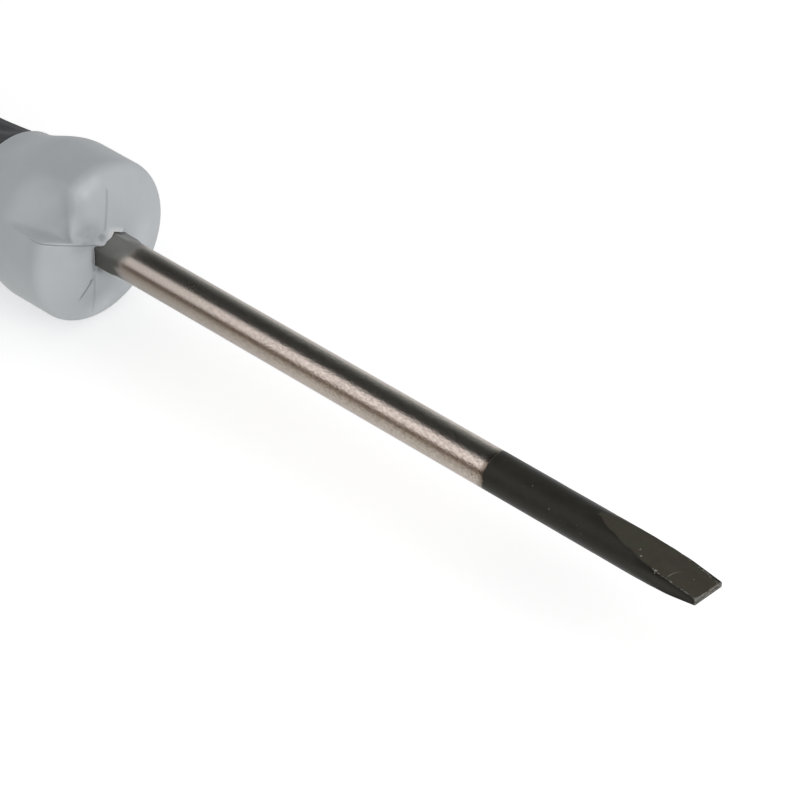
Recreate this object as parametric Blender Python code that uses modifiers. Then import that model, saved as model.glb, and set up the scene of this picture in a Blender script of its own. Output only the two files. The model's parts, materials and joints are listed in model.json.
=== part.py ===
"""Precision screwdriver: fixed slotted blade, two-part soft grip and a ball-bearing swivel cap.

The tool lies on its side with the blade along +X and +Z up, and the origin is on the table under
its middle. Each piece is modelled along the local Z axis of an empty, as if the tool stood on its
tip: zero is the end of the tip, and the cap is at the top. Local +X becomes +Z on the table.
All sizes are in metres.
"""
import math

import bmesh
import bpy
from mathutils import Matrix

# Blade
BLADE_REACH = 0.075
SHAFT_DIAMETER = 0.004
TIP_WIDTH = 0.0035
TIP_THICKNESS = 0.0006
GRIND_LENGTH = 0.0120
SIDE_TAPER_LENGTH = 0.0075
HEX_ACROSS_FLATS = 0.0038
HEX_EXPOSED = 0.0028
HEX_RUNOUT = 0.0010
SHANK_DEPTH = 0.040
SHANK_CHAMFER = 0.0004
ANCHOR_SETBACK = 0.008
ANCHOR_LENGTH = 0.003
ANCHOR_DIAMETER = 0.0030

# Handle core
NOSE_DIAMETER = 0.0173
NOSE_DOME_RADIUS = 0.020
NOSE_RIM_FILLET = 0.0012
GUARD_LENGTH = 0.0075
GUARD_FLARE = 0.0070
COLLAR_DIAMETER = 0.0138
COLLAR_EDGE = 0.0003
MID_COLLAR_LENGTH = 0.0040
REAR_COLLAR_LENGTH = 0.0025
NECK_DIAMETER = 0.0104
BOSS_DIAMETER = 0.0084
BOSS_HEIGHT = 0.0020

# Soft grips
FRONT_GRIP_LENGTH = 0.019
FRONT_SEAT_DIAMETER = 0.0100
FRONT_WAIST = 0.0007
FLUTE_COUNT = 16
FLUTE_DEPTH = 0.00035
FLUTE_FADE = 0.0025
MAIN_GRIP_LENGTH = 0.042
MAIN_SEAT_DIAMETER = 0.0110
GRIP_ACROSS_FLATS = 0.0176
GRIP_CORNER_RADIUS = 0.0032
GRIP_RISE = 0.011
GRIP_FALL = 0.013

# Marker ring and swivel cap
RING_WIDTH = 0.0030
CAP_WALL = 0.0012
CAP_FLARE = 0.0012
CAP_EDGE = 0.0014
CAP_FLUTE_COUNT = 12
CAP_FLUTE_DEPTH = 0.00045
PAD_THICKNESS = 0.0028
PAD_RIM = 0.0009
PAD_DISH = 0.0012

# Pivot and ball bearing
INSERT_DIAMETER = 0.0052
INSERT_LENGTH = 0.0080
INSERT_GROOVE = 0.0003
THREAD_DIAMETER = 0.0030
THREAD_LENGTH = 0.0065
PIVOT_DIAMETER = 0.0040
HEAD_DIAMETER = 0.0064
HEAD_HEIGHT = 0.0018
HEAD_EDGE = 0.0003
DRIVE_ACROSS_FLATS = 0.0025
DRIVE_DEPTH = 0.0011
BALL_COUNT = 7
BALL_DIAMETER = 0.0020
RACE_WALL = 0.0007
RACE_LAND_SHARE = 0.8
CAGE_BASE = 0.0004
CAGE_THICKNESS = 0.0007
CAGE_RISE = 0.00035
SHIELD_THICKNESS = 0.00025
SHIELD_SEAT = 0.0003
SHIELD_INSET = 0.0002
CLIP_THICKNESS = 0.0005
CLIP_SEAT = 0.00035
CLIP_GRIP = 0.00065
CLIP_OPENING = 0.0030

# Clearances
SEAT_GAP = 0.00005
BALL_PLAY = 0.00006
CAGE_GAP = 0.00012
RUN_GAP = 0.0003
WASHER_ROOM = 0.0002
HEAD_ROOM = 0.0004

# Facets
TURN_STEPS = 40
FINE_STEPS = 30
BLADE_POINTS = 48
HEX_ARC_POINTS = 6
FLUTE_POINTS = 4
CAP_FLUTE_POINTS = 4
GROOVE_POINTS = 5

# Stations along the tool, measured from the end of the tip
Z_HEX = BLADE_REACH - HEX_EXPOSED
Z_SHANK_END = BLADE_REACH + SHANK_DEPTH
Z_GUARD = BLADE_REACH + GUARD_LENGTH
Z_FRONT = Z_GUARD + GUARD_FLARE
Z_FRONT_END = Z_FRONT + FRONT_GRIP_LENGTH
Z_MAIN = Z_FRONT_END + MID_COLLAR_LENGTH
Z_MAIN_END = Z_MAIN + MAIN_GRIP_LENGTH
Z_RING = Z_MAIN_END + REAR_COLLAR_LENGTH
Z_RING_END = Z_RING + RING_WIDTH
Z_BOSS_END = Z_RING_END + BOSS_HEIGHT

# Bearing sizes that follow from the balls and the pivot
BALL_RADIUS = BALL_DIAMETER / 2
POCKET_RADIUS = BALL_RADIUS + BALL_PLAY
PIVOT_RADIUS = PIVOT_DIAMETER / 2
PITCH_RADIUS = PIVOT_RADIUS + RACE_WALL + POCKET_RADIUS
BEARING_RADIUS = PITCH_RADIUS + POCKET_RADIUS + RACE_WALL
RACE_LAND = RACE_LAND_SHARE * BALL_RADIUS
INNER_LAND_RADIUS = PITCH_RADIUS - RACE_LAND
OUTER_LAND_RADIUS = PITCH_RADIUS + RACE_LAND
SHIELD_DEPTH = SHIELD_INSET + SHIELD_THICKNESS
BEARING_HALF_WIDTH = POCKET_RADIUS + CAGE_BASE + CAGE_GAP + SEAT_GAP + SHIELD_DEPTH
WASHER_THICKNESS = CLIP_THICKNESS + WASHER_ROOM

Z_WASHER = Z_BOSS_END + SEAT_GAP
Z_BEARING = Z_WASHER + WASHER_THICKNESS + SEAT_GAP
Z_BALLS = Z_BEARING + BEARING_HALF_WIDTH
Z_BEARING_END = Z_BALLS + BEARING_HALF_WIDTH
Z_HEAD = Z_BEARING_END + SEAT_GAP
Z_HEAD_END = Z_HEAD + HEAD_HEIGHT

# Cap sizes that follow from the bearing and the pivot screw
CAP_BORE_RADIUS = BEARING_RADIUS + SEAT_GAP
CLIP_GROOVE_RADIUS = BEARING_RADIUS + CLIP_SEAT + SEAT_GAP
CAP_FOOT_RADIUS = CLIP_GROOVE_RADIUS + CAP_WALL
CAP_RADIUS = CAP_FOOT_RADIUS + CAP_FLARE
PAD_RECESS_RADIUS = CAP_RADIUS - CAP_EDGE - PAD_RIM
WEB_HOLE_RADIUS = HEAD_DIAMETER / 2 + HEAD_ROOM
Z_CAP = Z_RING_END + RUN_GAP
Z_CLIP_END = Z_BEARING - SEAT_GAP
Z_CLIP = Z_CLIP_END - CLIP_THICKNESS
Z_WEB = Z_BEARING_END + SEAT_GAP
Z_PAD = Z_HEAD_END + HEAD_ROOM
Z_CAP_END = Z_PAD + SEAT_GAP + PAD_THICKNESS

# The flat of the main grip lies on the table
HALF_ARC_STEP = math.radians(30) / HEX_ARC_POINTS
GRIP_FLAT_HEIGHT = (GRIP_ACROSS_FLATS / 2 - GRIP_CORNER_RADIUS
                    + GRIP_CORNER_RADIUS * math.cos(HALF_ARC_STEP))


def clear_scene():
    for obj in list(bpy.data.objects):
        bpy.data.objects.remove(obj, do_unlink=True)


def make_collection(name):
    collection = bpy.data.collections.new(name)
    bpy.context.scene.collection.children.link(collection)
    return collection


def make_material(name, colour, roughness, metallic=0.0):
    material = bpy.data.materials.new(name)
    material.use_nodes = True
    shader = material.node_tree.nodes["Principled BSDF"]
    shader.inputs["Base Color"].default_value = (*colour, 1.0)
    shader.inputs["Roughness"].default_value = roughness
    shader.inputs["Metallic"].default_value = metallic
    return material


def add_empty(name, parent=None):
    empty = bpy.data.objects.new(name, None)
    empty.empty_display_size = 0.01
    PARTS.objects.link(empty)
    empty.parent = parent
    return empty


def add_part(name, mesh, parent, material):
    part = bpy.data.objects.new(name, mesh)
    PARTS.objects.link(part)
    part.parent = parent
    mesh.materials.append(material)
    return part


def add_cutter(name, mesh, parent):
    cutter = bpy.data.objects.new(name, mesh)
    CUTTERS.objects.link(cutter)
    cutter.parent = parent
    cutter.hide_render = True
    cutter.display_type = "WIRE"
    return cutter


def combine(part, other, operation):
    modifier = part.modifiers.new(other.name, "BOOLEAN")
    modifier.object = other
    modifier.operation = operation
    modifier.solver = "EXACT"


def arc(centre_r, centre_z, radius, start, end, points):
    """Points of an arc in the profile plane; angles in degrees, zero outwards, 90 upwards."""
    step = (end - start) / (points - 1)
    angles = [math.radians(start + step * i) for i in range(points)]
    return [(centre_r + radius * math.cos(a), centre_z + radius * math.sin(a)) for a in angles]


def profile_mesh(name, profile, closed):
    count = len(profile)
    edges = [(i, i + 1) for i in range(count - 1)]
    if closed:
        edges.append((count - 1, 0))
    mesh = bpy.data.meshes.new(name)
    mesh.from_pydata([(r, 0.0, z) for r, z in profile], edges, [])
    return mesh


def turn(part, steps):
    modifier = part.modifiers.new("turn", "SCREW")
    modifier.axis = "Z"
    modifier.angle = math.tau
    modifier.steps = steps
    modifier.render_steps = steps
    modifier.use_merge_vertices = True
    modifier.merge_threshold = 1e-7
    modifier.use_smooth_shade = True


def turned_part(name, profile, parent, material, closed=True, steps=FINE_STEPS):
    """A turned piece; the profile runs down the outer side and, if closed, back up the bore."""
    part = add_part(name, profile_mesh(name, profile, closed), parent, material)
    turn(part, steps)
    return part


def ring_profile(outer, inner, bottom, top):
    return [(outer, top), (outer, bottom), (inner, bottom), (inner, top)]


def prism_mesh(name, sides, radius, bottom, top):
    """A prism along Z; with six sides, two of its flats face +X and -X."""
    mesh = bpy.data.meshes.new(name)
    bm = bmesh.new()
    bmesh.ops.create_cone(bm, cap_ends=True, segments=sides, radius1=radius, radius2=radius,
                          depth=top - bottom)
    bmesh.ops.translate(bm, verts=bm.verts, vec=(0.0, 0.0, (top + bottom) / 2))
    bm.to_mesh(mesh)
    bm.free()
    return mesh


def hex_mesh(name, across_flats, bottom, top, corner_up=False):
    """A hexagonal prism, with flats across X or, corner up, with corners across X."""
    mesh = prism_mesh(name, 6, across_flats / math.sqrt(3), bottom, top)
    if corner_up:
        mesh.transform(Matrix.Rotation(math.radians(30), 4, "Z"))
    return mesh


def block_mesh(name, size):
    mesh = bpy.data.meshes.new(name)
    bm = bmesh.new()
    bmesh.ops.create_cube(bm, size=1.0)
    bmesh.ops.scale(bm, verts=bm.verts, vec=size)
    bm.to_mesh(mesh)
    bm.free()
    return mesh


def loft_mesh(name, rings, hollow=True):
    """Rings of equal point count, upwards. A hollow sleeve goes on down the inside to its start."""
    count = len(rings[0])
    vertices = [point for ring in rings for point in ring]
    faces = []
    for i in range(len(rings) if hollow else len(rings) - 1):
        near = i * count
        far = (i + 1) % len(rings) * count
        for j in range(count):
            k = (j + 1) % count
            faces.append((near + j, near + k, far + k, far + j))
    if not hollow:
        faces.append(tuple(range(count - 1, -1, -1)))
        faces.append(tuple(range(len(vertices) - count, len(vertices))))
    mesh = bpy.data.meshes.new(name)
    mesh.from_pydata(vertices, [], faces)
    mesh.shade_smooth()
    mesh.set_sharp_from_angle(angle=math.radians(35))
    return mesh


def fluted_ring(radius, depth, flutes, points, height):
    count = flutes * points
    ring = []
    for i in range(count):
        angle = math.tau * i / count
        r = radius - depth * (0.5 - 0.5 * math.cos(flutes * angle))
        ring.append((r * math.cos(angle), r * math.sin(angle), height))
    return ring


def rounded_hex_ring(apothem, corner, height):
    """A hexagon with rounded corners and two flats across X; a circle where corner is apothem."""
    ring = []
    reach = (apothem - corner) / math.cos(math.radians(30))
    for k in range(6):
        middle = math.radians(30 + 60 * k)
        for j in range(HEX_ARC_POINTS):
            angle = middle - math.radians(30) + HALF_ARC_STEP * (2 * j + 1)
            x = reach * math.cos(middle) + corner * math.cos(angle)
            y = reach * math.sin(middle) + corner * math.sin(angle)
            ring.append((x, y, height))
    return ring


def smooth_step(value):
    value = min(max(value, 0.0), 1.0)
    return value * value * (3 - 2 * value)


def mix(start, end, share):
    return start + (end - start) * share


def shank_ring(hex_share, scale, height):
    """Section of the blade, from the round shaft (share 0) to the formed hexagon, corner up (share 1)."""
    ring = []
    for i in range(BLADE_POINTS):
        angle = math.tau * i / BLADE_POINTS
        from_flat = angle % math.radians(60) - math.radians(30)
        hexagon = HEX_ACROSS_FLATS / 2 / math.cos(from_flat)
        radius = scale * mix(SHAFT_DIAMETER / 2, hexagon, hex_share)
        ring.append((radius * math.cos(angle), radius * math.sin(angle), height))
    return ring


def anchor_stations():
    top = Z_SHANK_END - ANCHOR_SETBACK
    return top - ANCHOR_LENGTH, top


def blade_rings():
    """Round shaft, formed hexagon, the anchor groove that the plastic fills, and the end chamfer."""
    anchor, anchor_end = anchor_stations()
    anchor_scale = ANCHOR_DIAMETER / SHAFT_DIAMETER
    chamfer_scale = 1 - SHANK_CHAMFER / (HEX_ACROSS_FLATS / 2)
    rings = [shank_ring(0.0, 1.0, 0.0)]
    runout_steps = 4
    for i in range(runout_steps + 1):
        share = i / runout_steps
        rings.append(shank_ring(smooth_step(share), 1.0, Z_HEX + HEX_RUNOUT * share))
    rings += [shank_ring(1.0, 1.0, anchor), shank_ring(0.0, anchor_scale, anchor),
              shank_ring(0.0, anchor_scale, anchor_end), shank_ring(1.0, 1.0, anchor_end),
              shank_ring(1.0, 1.0, Z_SHANK_END - SHANK_CHAMFER), shank_ring(1.0, chamfer_scale, Z_SHANK_END)]
    return rings


def build_blade(parent, material):
    """The shaft and its formed shank, with the tip ground to a wedge and narrowed at its sides."""
    blade = add_part("blade", loft_mesh("blade", blade_rings(), hollow=False), parent, material)
    radius = SHAFT_DIAMETER / 2
    reach = 4 * SHAFT_DIAMETER
    grind = math.atan2(radius - TIP_THICKNESS / 2, GRIND_LENGTH)
    taper = math.atan2(radius - TIP_WIDTH / 2, SIDE_TAPER_LENGTH)
    for side in (1, -1):
        wedge = block_mesh("tip_grind", (reach, reach, 2 * (GRIND_LENGTH + reach)))
        cutter = add_cutter("tip_grind", wedge, parent)
        cutter.rotation_euler = (0.0, side * grind, 0.0)
        offset = TIP_THICKNESS / 2 + reach / 2 * math.cos(grind)
        cutter.location = (side * offset, 0.0, -reach / 2 * math.sin(grind))
        combine(blade, cutter, "DIFFERENCE")
    for side in (1, -1):
        flank = block_mesh("tip_side", (reach, reach, 2 * (SIDE_TAPER_LENGTH + reach)))
        cutter = add_cutter("tip_side", flank, parent)
        cutter.rotation_euler = (-side * taper, 0.0, 0.0)
        offset = TIP_WIDTH / 2 + reach / 2 * math.cos(taper)
        cutter.location = (0.0, side * offset, -reach / 2 * math.sin(taper))
        combine(blade, cutter, "DIFFERENCE")
    return blade


def nose_profile():
    """Rim fillet and dome of the nose, from the straight side down to the middle."""
    radius = NOSE_DIAMETER / 2
    centre_r = radius - NOSE_RIM_FILLET
    dome_z = BLADE_REACH + NOSE_DOME_RADIUS
    tilt = math.degrees(math.asin(centre_r / (NOSE_DOME_RADIUS - NOSE_RIM_FILLET)))
    centre_z = dome_z - (NOSE_DOME_RADIUS - NOSE_RIM_FILLET) * math.cos(math.radians(tilt))
    rim = arc(centre_r, centre_z, NOSE_RIM_FILLET, 0, tilt - 90, 5)
    dome = arc(0.0, dome_z, NOSE_DOME_RADIUS, tilt - 90, -90, 6)
    return rim + dome[1:]


def flare_profile(points=7):
    """Smooth run from the collar radius out to the guard of the nose."""
    outline = []
    for i in range(points):
        share = i / (points - 1)
        radius = mix(COLLAR_DIAMETER / 2, NOSE_DIAMETER / 2, smooth_step(share))
        outline.append((radius, mix(Z_FRONT, Z_GUARD, share)))
    return outline


def build_core(parent, material):
    """Hard plastic body: domed nose, guard, seats for the grips, and the boss for the swivel."""
    bore = INSERT_DIAMETER / 2 + SEAT_GAP
    bore_end = Z_BOSS_END - INSERT_LENGTH - SEAT_GAP
    boss = BOSS_DIAMETER / 2
    neck = NECK_DIAMETER / 2
    neck_end = Z_RING_END - SEAT_GAP
    collar = COLLAR_DIAMETER / 2
    main_seat = MAIN_SEAT_DIAMETER / 2
    front_seat = FRONT_SEAT_DIAMETER / 2
    profile = [(0.0, bore_end), (bore, bore_end), (bore, Z_BOSS_END),
               (boss, Z_BOSS_END), (boss, neck_end), (neck, neck_end), (neck, Z_RING),
               (CAP_FOOT_RADIUS - COLLAR_EDGE, Z_RING), (CAP_FOOT_RADIUS, Z_RING - COLLAR_EDGE),
               (CAP_FOOT_RADIUS, Z_MAIN_END + COLLAR_EDGE), (CAP_FOOT_RADIUS - COLLAR_EDGE, Z_MAIN_END),
               (main_seat, Z_MAIN_END), (main_seat, Z_MAIN),
               (collar - COLLAR_EDGE, Z_MAIN), (collar, Z_MAIN - COLLAR_EDGE),
               (collar, Z_FRONT_END + COLLAR_EDGE), (collar - COLLAR_EDGE, Z_FRONT_END),
               (front_seat, Z_FRONT_END), (front_seat, Z_FRONT)]
    profile += flare_profile() + nose_profile()
    core = turned_part("handle_core", profile, parent, material, closed=False, steps=TURN_STEPS)

    socket_flats = HEX_ACROSS_FLATS + 2 * SEAT_GAP
    anchor, anchor_end = anchor_stations()
    sockets = ((Z_HEX, anchor + SEAT_GAP), (anchor_end - SEAT_GAP, Z_SHANK_END + SEAT_GAP))
    for bottom, top in sockets:
        socket = hex_mesh("hex_socket", socket_flats, bottom, top, corner_up=True)
        combine(core, add_cutter("hex_socket", socket, parent), "DIFFERENCE")
    throat_radius = ANCHOR_DIAMETER / 2 + SEAT_GAP
    throat = prism_mesh("socket_throat", FINE_STEPS, throat_radius, anchor, anchor_end)
    combine(core, add_cutter("socket_throat", throat, parent), "DIFFERENCE")
    return core


def build_front_grip(parent, material):
    """Waisted sleeve with fine flutes, for turning the tool fast between two fingers."""
    start = Z_FRONT + SEAT_GAP
    end = Z_FRONT_END - SEAT_GAP
    inner = FRONT_SEAT_DIAMETER / 2 + SEAT_GAP
    sections = 8
    rings = []
    for i in range(sections + 1):
        share = i / sections
        height = mix(start, end, share)
        radius = COLLAR_DIAMETER / 2 - COLLAR_EDGE - FRONT_WAIST * math.sin(math.pi * share)
        fade = smooth_step(min(height - start, end - height) / FLUTE_FADE)
        rings.append(fluted_ring(radius, FLUTE_DEPTH * fade, FLUTE_COUNT, FLUTE_POINTS, height))
    for height in (end, start):
        rings.append(fluted_ring(inner, 0.0, FLUTE_COUNT, FLUTE_POINTS, height))
    return add_part("front_grip", loft_mesh("front_grip", rings), parent, material)


def build_main_grip(parent, material):
    """Barrel that goes from round to a rounded hexagon and back; its flats stop the tool rolling."""
    start = Z_MAIN + SEAT_GAP
    end = Z_MAIN_END - SEAT_GAP
    inner = MAIN_SEAT_DIAMETER / 2 + SEAT_GAP
    steps = 7
    heights = [start + GRIP_RISE * i / steps for i in range(steps + 1)]
    heights += [end - GRIP_FALL * (steps - i) / steps for i in range(steps + 1)]
    rings = []
    for height in heights:
        weight = smooth_step(min((height - start) / GRIP_RISE, (end - height) / GRIP_FALL))
        round_radius = mix(COLLAR_DIAMETER / 2, CAP_FOOT_RADIUS, (height - start) / (end - start))
        apothem = mix(round_radius - COLLAR_EDGE, GRIP_ACROSS_FLATS / 2, weight)
        corner = mix(apothem, GRIP_CORNER_RADIUS, weight)
        rings.append(rounded_hex_ring(apothem, corner, height))
    for height in (end, start):
        rings.append(rounded_hex_ring(inner, inner, height))
    return add_part("main_grip", loft_mesh("main_grip", rings), parent, material)


def build_marker_ring(parent, material):
    inner = NECK_DIAMETER / 2 + SEAT_GAP
    bottom = Z_RING + SEAT_GAP
    edge = COLLAR_EDGE
    profile = [(CAP_FOOT_RADIUS - edge, Z_RING_END), (CAP_FOOT_RADIUS, Z_RING_END - edge),
               (CAP_FOOT_RADIUS, bottom + edge), (CAP_FOOT_RADIUS - edge, bottom),
               (inner, bottom), (inner, Z_RING_END)]
    return turned_part("marker_ring", profile, parent, material, steps=TURN_STEPS)


def build_threaded_insert(parent, material):
    """Brass insert with a groove between its two gripping bands."""
    outer = INSERT_DIAMETER / 2
    inner = THREAD_DIAMETER / 2 + SEAT_GAP
    top = Z_BOSS_END
    bottom = top - INSERT_LENGTH
    band = INSERT_LENGTH / 3
    profile = [(outer, top), (outer, top - band), (outer - INSERT_GROOVE, top - band),
               (outer - INSERT_GROOVE, bottom + band), (outer, bottom + band), (outer, bottom),
               (inner, bottom), (inner, top)]
    return turned_part("threaded_insert", profile, parent, material)


def build_pivot_screw(parent, material):
    """Shoulder screw: the shoulder carries the inner race and the head holds it down."""
    head = HEAD_DIAMETER / 2
    shoulder = PIVOT_RADIUS - SEAT_GAP
    shoulder_end = Z_BEARING
    profile = [(0.0, Z_HEAD_END), (head - HEAD_EDGE, Z_HEAD_END), (head, Z_HEAD_END - HEAD_EDGE),
               (head, Z_HEAD), (shoulder, Z_HEAD), (shoulder, shoulder_end),
               (THREAD_DIAMETER / 2, shoulder_end), (THREAD_DIAMETER / 2, Z_BOSS_END - THREAD_LENGTH),
               (0.0, Z_BOSS_END - THREAD_LENGTH)]
    screw = turned_part("pivot_screw", profile, parent, material, closed=False)
    drive = hex_mesh("pivot_drive", DRIVE_ACROSS_FLATS, Z_HEAD_END - DRIVE_DEPTH, Z_HEAD_END + HEAD_HEIGHT)
    combine(screw, add_cutter("pivot_drive", drive, parent), "DIFFERENCE")
    return screw


def build_spacer_washer(parent, material):
    profile = ring_profile(INNER_LAND_RADIUS, THREAD_DIAMETER / 2 + SEAT_GAP,
                           Z_WASHER, Z_WASHER + WASHER_THICKNESS)
    return turned_part("spacer_washer", profile, parent, material)


def race_groove(start, end):
    """Ball groove of a race, as an arc round the middle of a ball."""
    return arc(PITCH_RADIUS, Z_BALLS, POCKET_RADIUS, start, end, GROOVE_POINTS)


def build_inner_race(parent, material):
    half_angle = math.degrees(math.acos(RACE_LAND / POCKET_RADIUS))
    profile = [(INNER_LAND_RADIUS, Z_BEARING_END)]
    profile += race_groove(180 - half_angle, 180 + half_angle)
    profile += [(INNER_LAND_RADIUS, Z_BEARING), (PIVOT_RADIUS, Z_BEARING), (PIVOT_RADIUS, Z_BEARING_END)]
    return turned_part("inner_race", profile, parent, material)


def build_outer_race(parent, material):
    half_angle = math.degrees(math.acos(RACE_LAND / POCKET_RADIUS))
    seat = OUTER_LAND_RADIUS + SHIELD_SEAT
    low = Z_BEARING + SHIELD_DEPTH + SEAT_GAP
    high = Z_BEARING_END - SHIELD_DEPTH - SEAT_GAP
    profile = [(BEARING_RADIUS, Z_BEARING_END), (BEARING_RADIUS, Z_BEARING), (seat, Z_BEARING),
               (seat, low), (OUTER_LAND_RADIUS, low)]
    profile += race_groove(-half_angle, half_angle)
    profile += [(OUTER_LAND_RADIUS, high), (seat, high), (seat, Z_BEARING_END)]
    return turned_part("outer_race", profile, parent, material)


def build_shields(parent, material):
    outer = OUTER_LAND_RADIUS + SHIELD_SEAT - SEAT_GAP
    inner = INNER_LAND_RADIUS + CAGE_GAP
    bottoms = {"lower_shield": Z_BEARING + SHIELD_INSET,
               "upper_shield": Z_BEARING_END - SHIELD_INSET - SHIELD_THICKNESS}
    for name, bottom in bottoms.items():
        turned_part(name, ring_profile(outer, inner, bottom, bottom + SHIELD_THICKNESS), parent, material)


def ball_mesh(name, radius, segments, rings):
    mesh = bpy.data.meshes.new(name)
    bm = bmesh.new()
    bmesh.ops.create_uvsphere(bm, u_segments=segments, v_segments=rings, radius=radius)
    bm.to_mesh(mesh)
    bm.free()
    mesh.shade_smooth()
    return mesh


def ball_places():
    for i in range(BALL_COUNT):
        angle = math.tau * i / BALL_COUNT
        yield PITCH_RADIUS * math.cos(angle), PITCH_RADIUS * math.sin(angle), Z_BALLS


def build_ball_cage(parent, cage_material, ball_material):
    """Crown cage: a base ring with a round pocket for each ball, open towards the cap."""
    bottom = Z_BALLS - POCKET_RADIUS - CAGE_BASE
    profile = ring_profile(PITCH_RADIUS + CAGE_THICKNESS / 2, PITCH_RADIUS - CAGE_THICKNESS / 2,
                           bottom, Z_BALLS + CAGE_RISE)
    cage = turned_part("ball_cage", profile, parent, cage_material)
    for i, place in enumerate(ball_places(), start=1):
        pocket = add_cutter("ball_pocket", ball_mesh("ball_pocket", POCKET_RADIUS, 16, 10), parent)
        pocket.location = place
        combine(cage, pocket, "DIFFERENCE")
        ball = add_part(f"ball_{i}", ball_mesh(f"ball_{i}", BALL_RADIUS, 12, 7), parent, ball_material)
        ball.location = place


def build_retaining_ring(parent, material):
    """Spring ring in the groove of the cap, under the outer race; it is open on one side."""
    outer = BEARING_RADIUS + CLIP_SEAT
    inner = BEARING_RADIUS - CLIP_GRIP
    clip = turned_part("retaining_ring", ring_profile(outer, inner, Z_CLIP, Z_CLIP_END), parent, material)
    gap_mesh = block_mesh("ring_opening", (2 * outer, CLIP_OPENING, 4 * CLIP_THICKNESS))
    opening = add_cutter("ring_opening", gap_mesh, parent)
    opening.location = (outer, 0.0, (Z_CLIP + Z_CLIP_END) / 2)
    combine(clip, opening, "DIFFERENCE")
    return clip


def build_cap_shell(parent, material):
    """Flared cap with finger flutes; it holds the bearing below its web and the pad above it."""
    def ring(radius, height, depth=0.0):
        return fluted_ring(radius, depth, CAP_FLUTE_COUNT, CAP_FLUTE_POINTS, height)

    edge_z = Z_CAP_END - CAP_EDGE
    rings = [ring(CAP_FOOT_RADIUS - COLLAR_EDGE, Z_CAP)]
    sections = 5
    for i in range(sections + 1):
        share = i / sections
        radius = mix(CAP_FOOT_RADIUS, CAP_RADIUS, smooth_step(share))
        depth = CAP_FLUTE_DEPTH * math.sin(math.pi * share)
        rings.append(ring(radius, mix(Z_CAP + COLLAR_EDGE, edge_z, share), depth))
    for radius, height in arc(CAP_RADIUS - CAP_EDGE, edge_z, CAP_EDGE, 0, 90, 5)[1:]:
        rings.append(ring(radius, height))
    inside = [(PAD_RECESS_RADIUS, Z_CAP_END), (PAD_RECESS_RADIUS, Z_PAD), (WEB_HOLE_RADIUS, Z_PAD),
              (WEB_HOLE_RADIUS, Z_WEB), (CAP_BORE_RADIUS, Z_WEB), (CAP_BORE_RADIUS, Z_CLIP_END + SEAT_GAP),
              (CLIP_GROOVE_RADIUS, Z_CLIP_END + SEAT_GAP), (CLIP_GROOVE_RADIUS, Z_CLIP - SEAT_GAP),
              (CAP_BORE_RADIUS, Z_CLIP - SEAT_GAP), (CAP_BORE_RADIUS, Z_CAP)]
    rings += [ring(radius, height) for radius, height in inside]
    return add_part("cap_shell", loft_mesh("cap_shell", rings), parent, material)


def build_cap_pad(parent, material):
    """Disc in the top of the cap, dished for a fingertip."""
    outer = PAD_RECESS_RADIUS - SEAT_GAP
    bottom = Z_PAD + SEAT_GAP
    rim = outer - PAD_RIM
    dish_radius = (rim * rim + PAD_DISH * PAD_DISH) / (2 * PAD_DISH)
    spread = math.degrees(math.asin(rim / dish_radius))
    dish = arc(0.0, Z_CAP_END - PAD_DISH + dish_radius, dish_radius, -90, spread - 90, 7)
    profile = dish + [(outer - COLLAR_EDGE, Z_CAP_END), (outer, Z_CAP_END - COLLAR_EDGE),
                      (outer, bottom), (0.0, bottom)]
    return turned_part("cap_pad", profile, parent, material, closed=False)


def build_screwdriver():
    grey_plastic = make_material("grey_plastic", (0.43, 0.45, 0.47), 0.45)
    soft_grip = make_material("soft_grip", (0.045, 0.047, 0.05), 0.75)
    plated_steel = make_material("plated_steel", (0.62, 0.58, 0.54), 0.22, 1.0)
    bearing_steel = make_material("bearing_steel", (0.60, 0.60, 0.61), 0.18, 1.0)
    brass = make_material("brass", (0.66, 0.46, 0.18), 0.30, 1.0)
    ring_plastic = make_material("ring_plastic", (0.10, 0.13, 0.16), 0.40)
    cage_plastic = make_material("cage_plastic", (0.60, 0.56, 0.45), 0.50)

    tool_axis = add_empty("tool_axis")
    tool_axis.location = (Z_CAP_END / 2, 0.0, GRIP_FLAT_HEIGHT)
    tool_axis.rotation_euler = (0.0, -math.pi / 2, 0.0)
    cap_axis = add_empty("cap_axis", tool_axis)
    cage_axis = add_empty("cage_axis", tool_axis)

    build_blade(tool_axis, plated_steel)
    build_core(tool_axis, grey_plastic)
    build_front_grip(tool_axis, soft_grip)
    build_main_grip(tool_axis, soft_grip)
    build_marker_ring(tool_axis, ring_plastic)
    build_threaded_insert(tool_axis, brass)
    build_pivot_screw(tool_axis, bearing_steel)
    build_spacer_washer(tool_axis, bearing_steel)
    build_inner_race(tool_axis, bearing_steel)

    build_ball_cage(cage_axis, cage_plastic, bearing_steel)

    build_outer_race(cap_axis, bearing_steel)
    build_shields(cap_axis, bearing_steel)
    build_retaining_ring(cap_axis, bearing_steel)
    build_cap_shell(cap_axis, grey_plastic)
    build_cap_pad(cap_axis, soft_grip)


clear_scene()
PARTS = make_collection("precision_screwdriver")
CUTTERS = make_collection("cutters")
build_screwdriver()
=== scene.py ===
"""Looks of the precision screwdriver: fine surfaces, finishes, studio and camera.

The tool lies along X with its tip at +X. A place on it is given by its distance from the tip, and by
how far it is up (+Z) and to the side (+Y) of the tool's axis. All sizes are in metres.
"""
import json
from math import acos, asin, atan2, cos, degrees, exp, hypot, pi, radians, sin, sqrt, tan, tau

import bpy
from mathutils import Matrix, Vector


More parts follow.
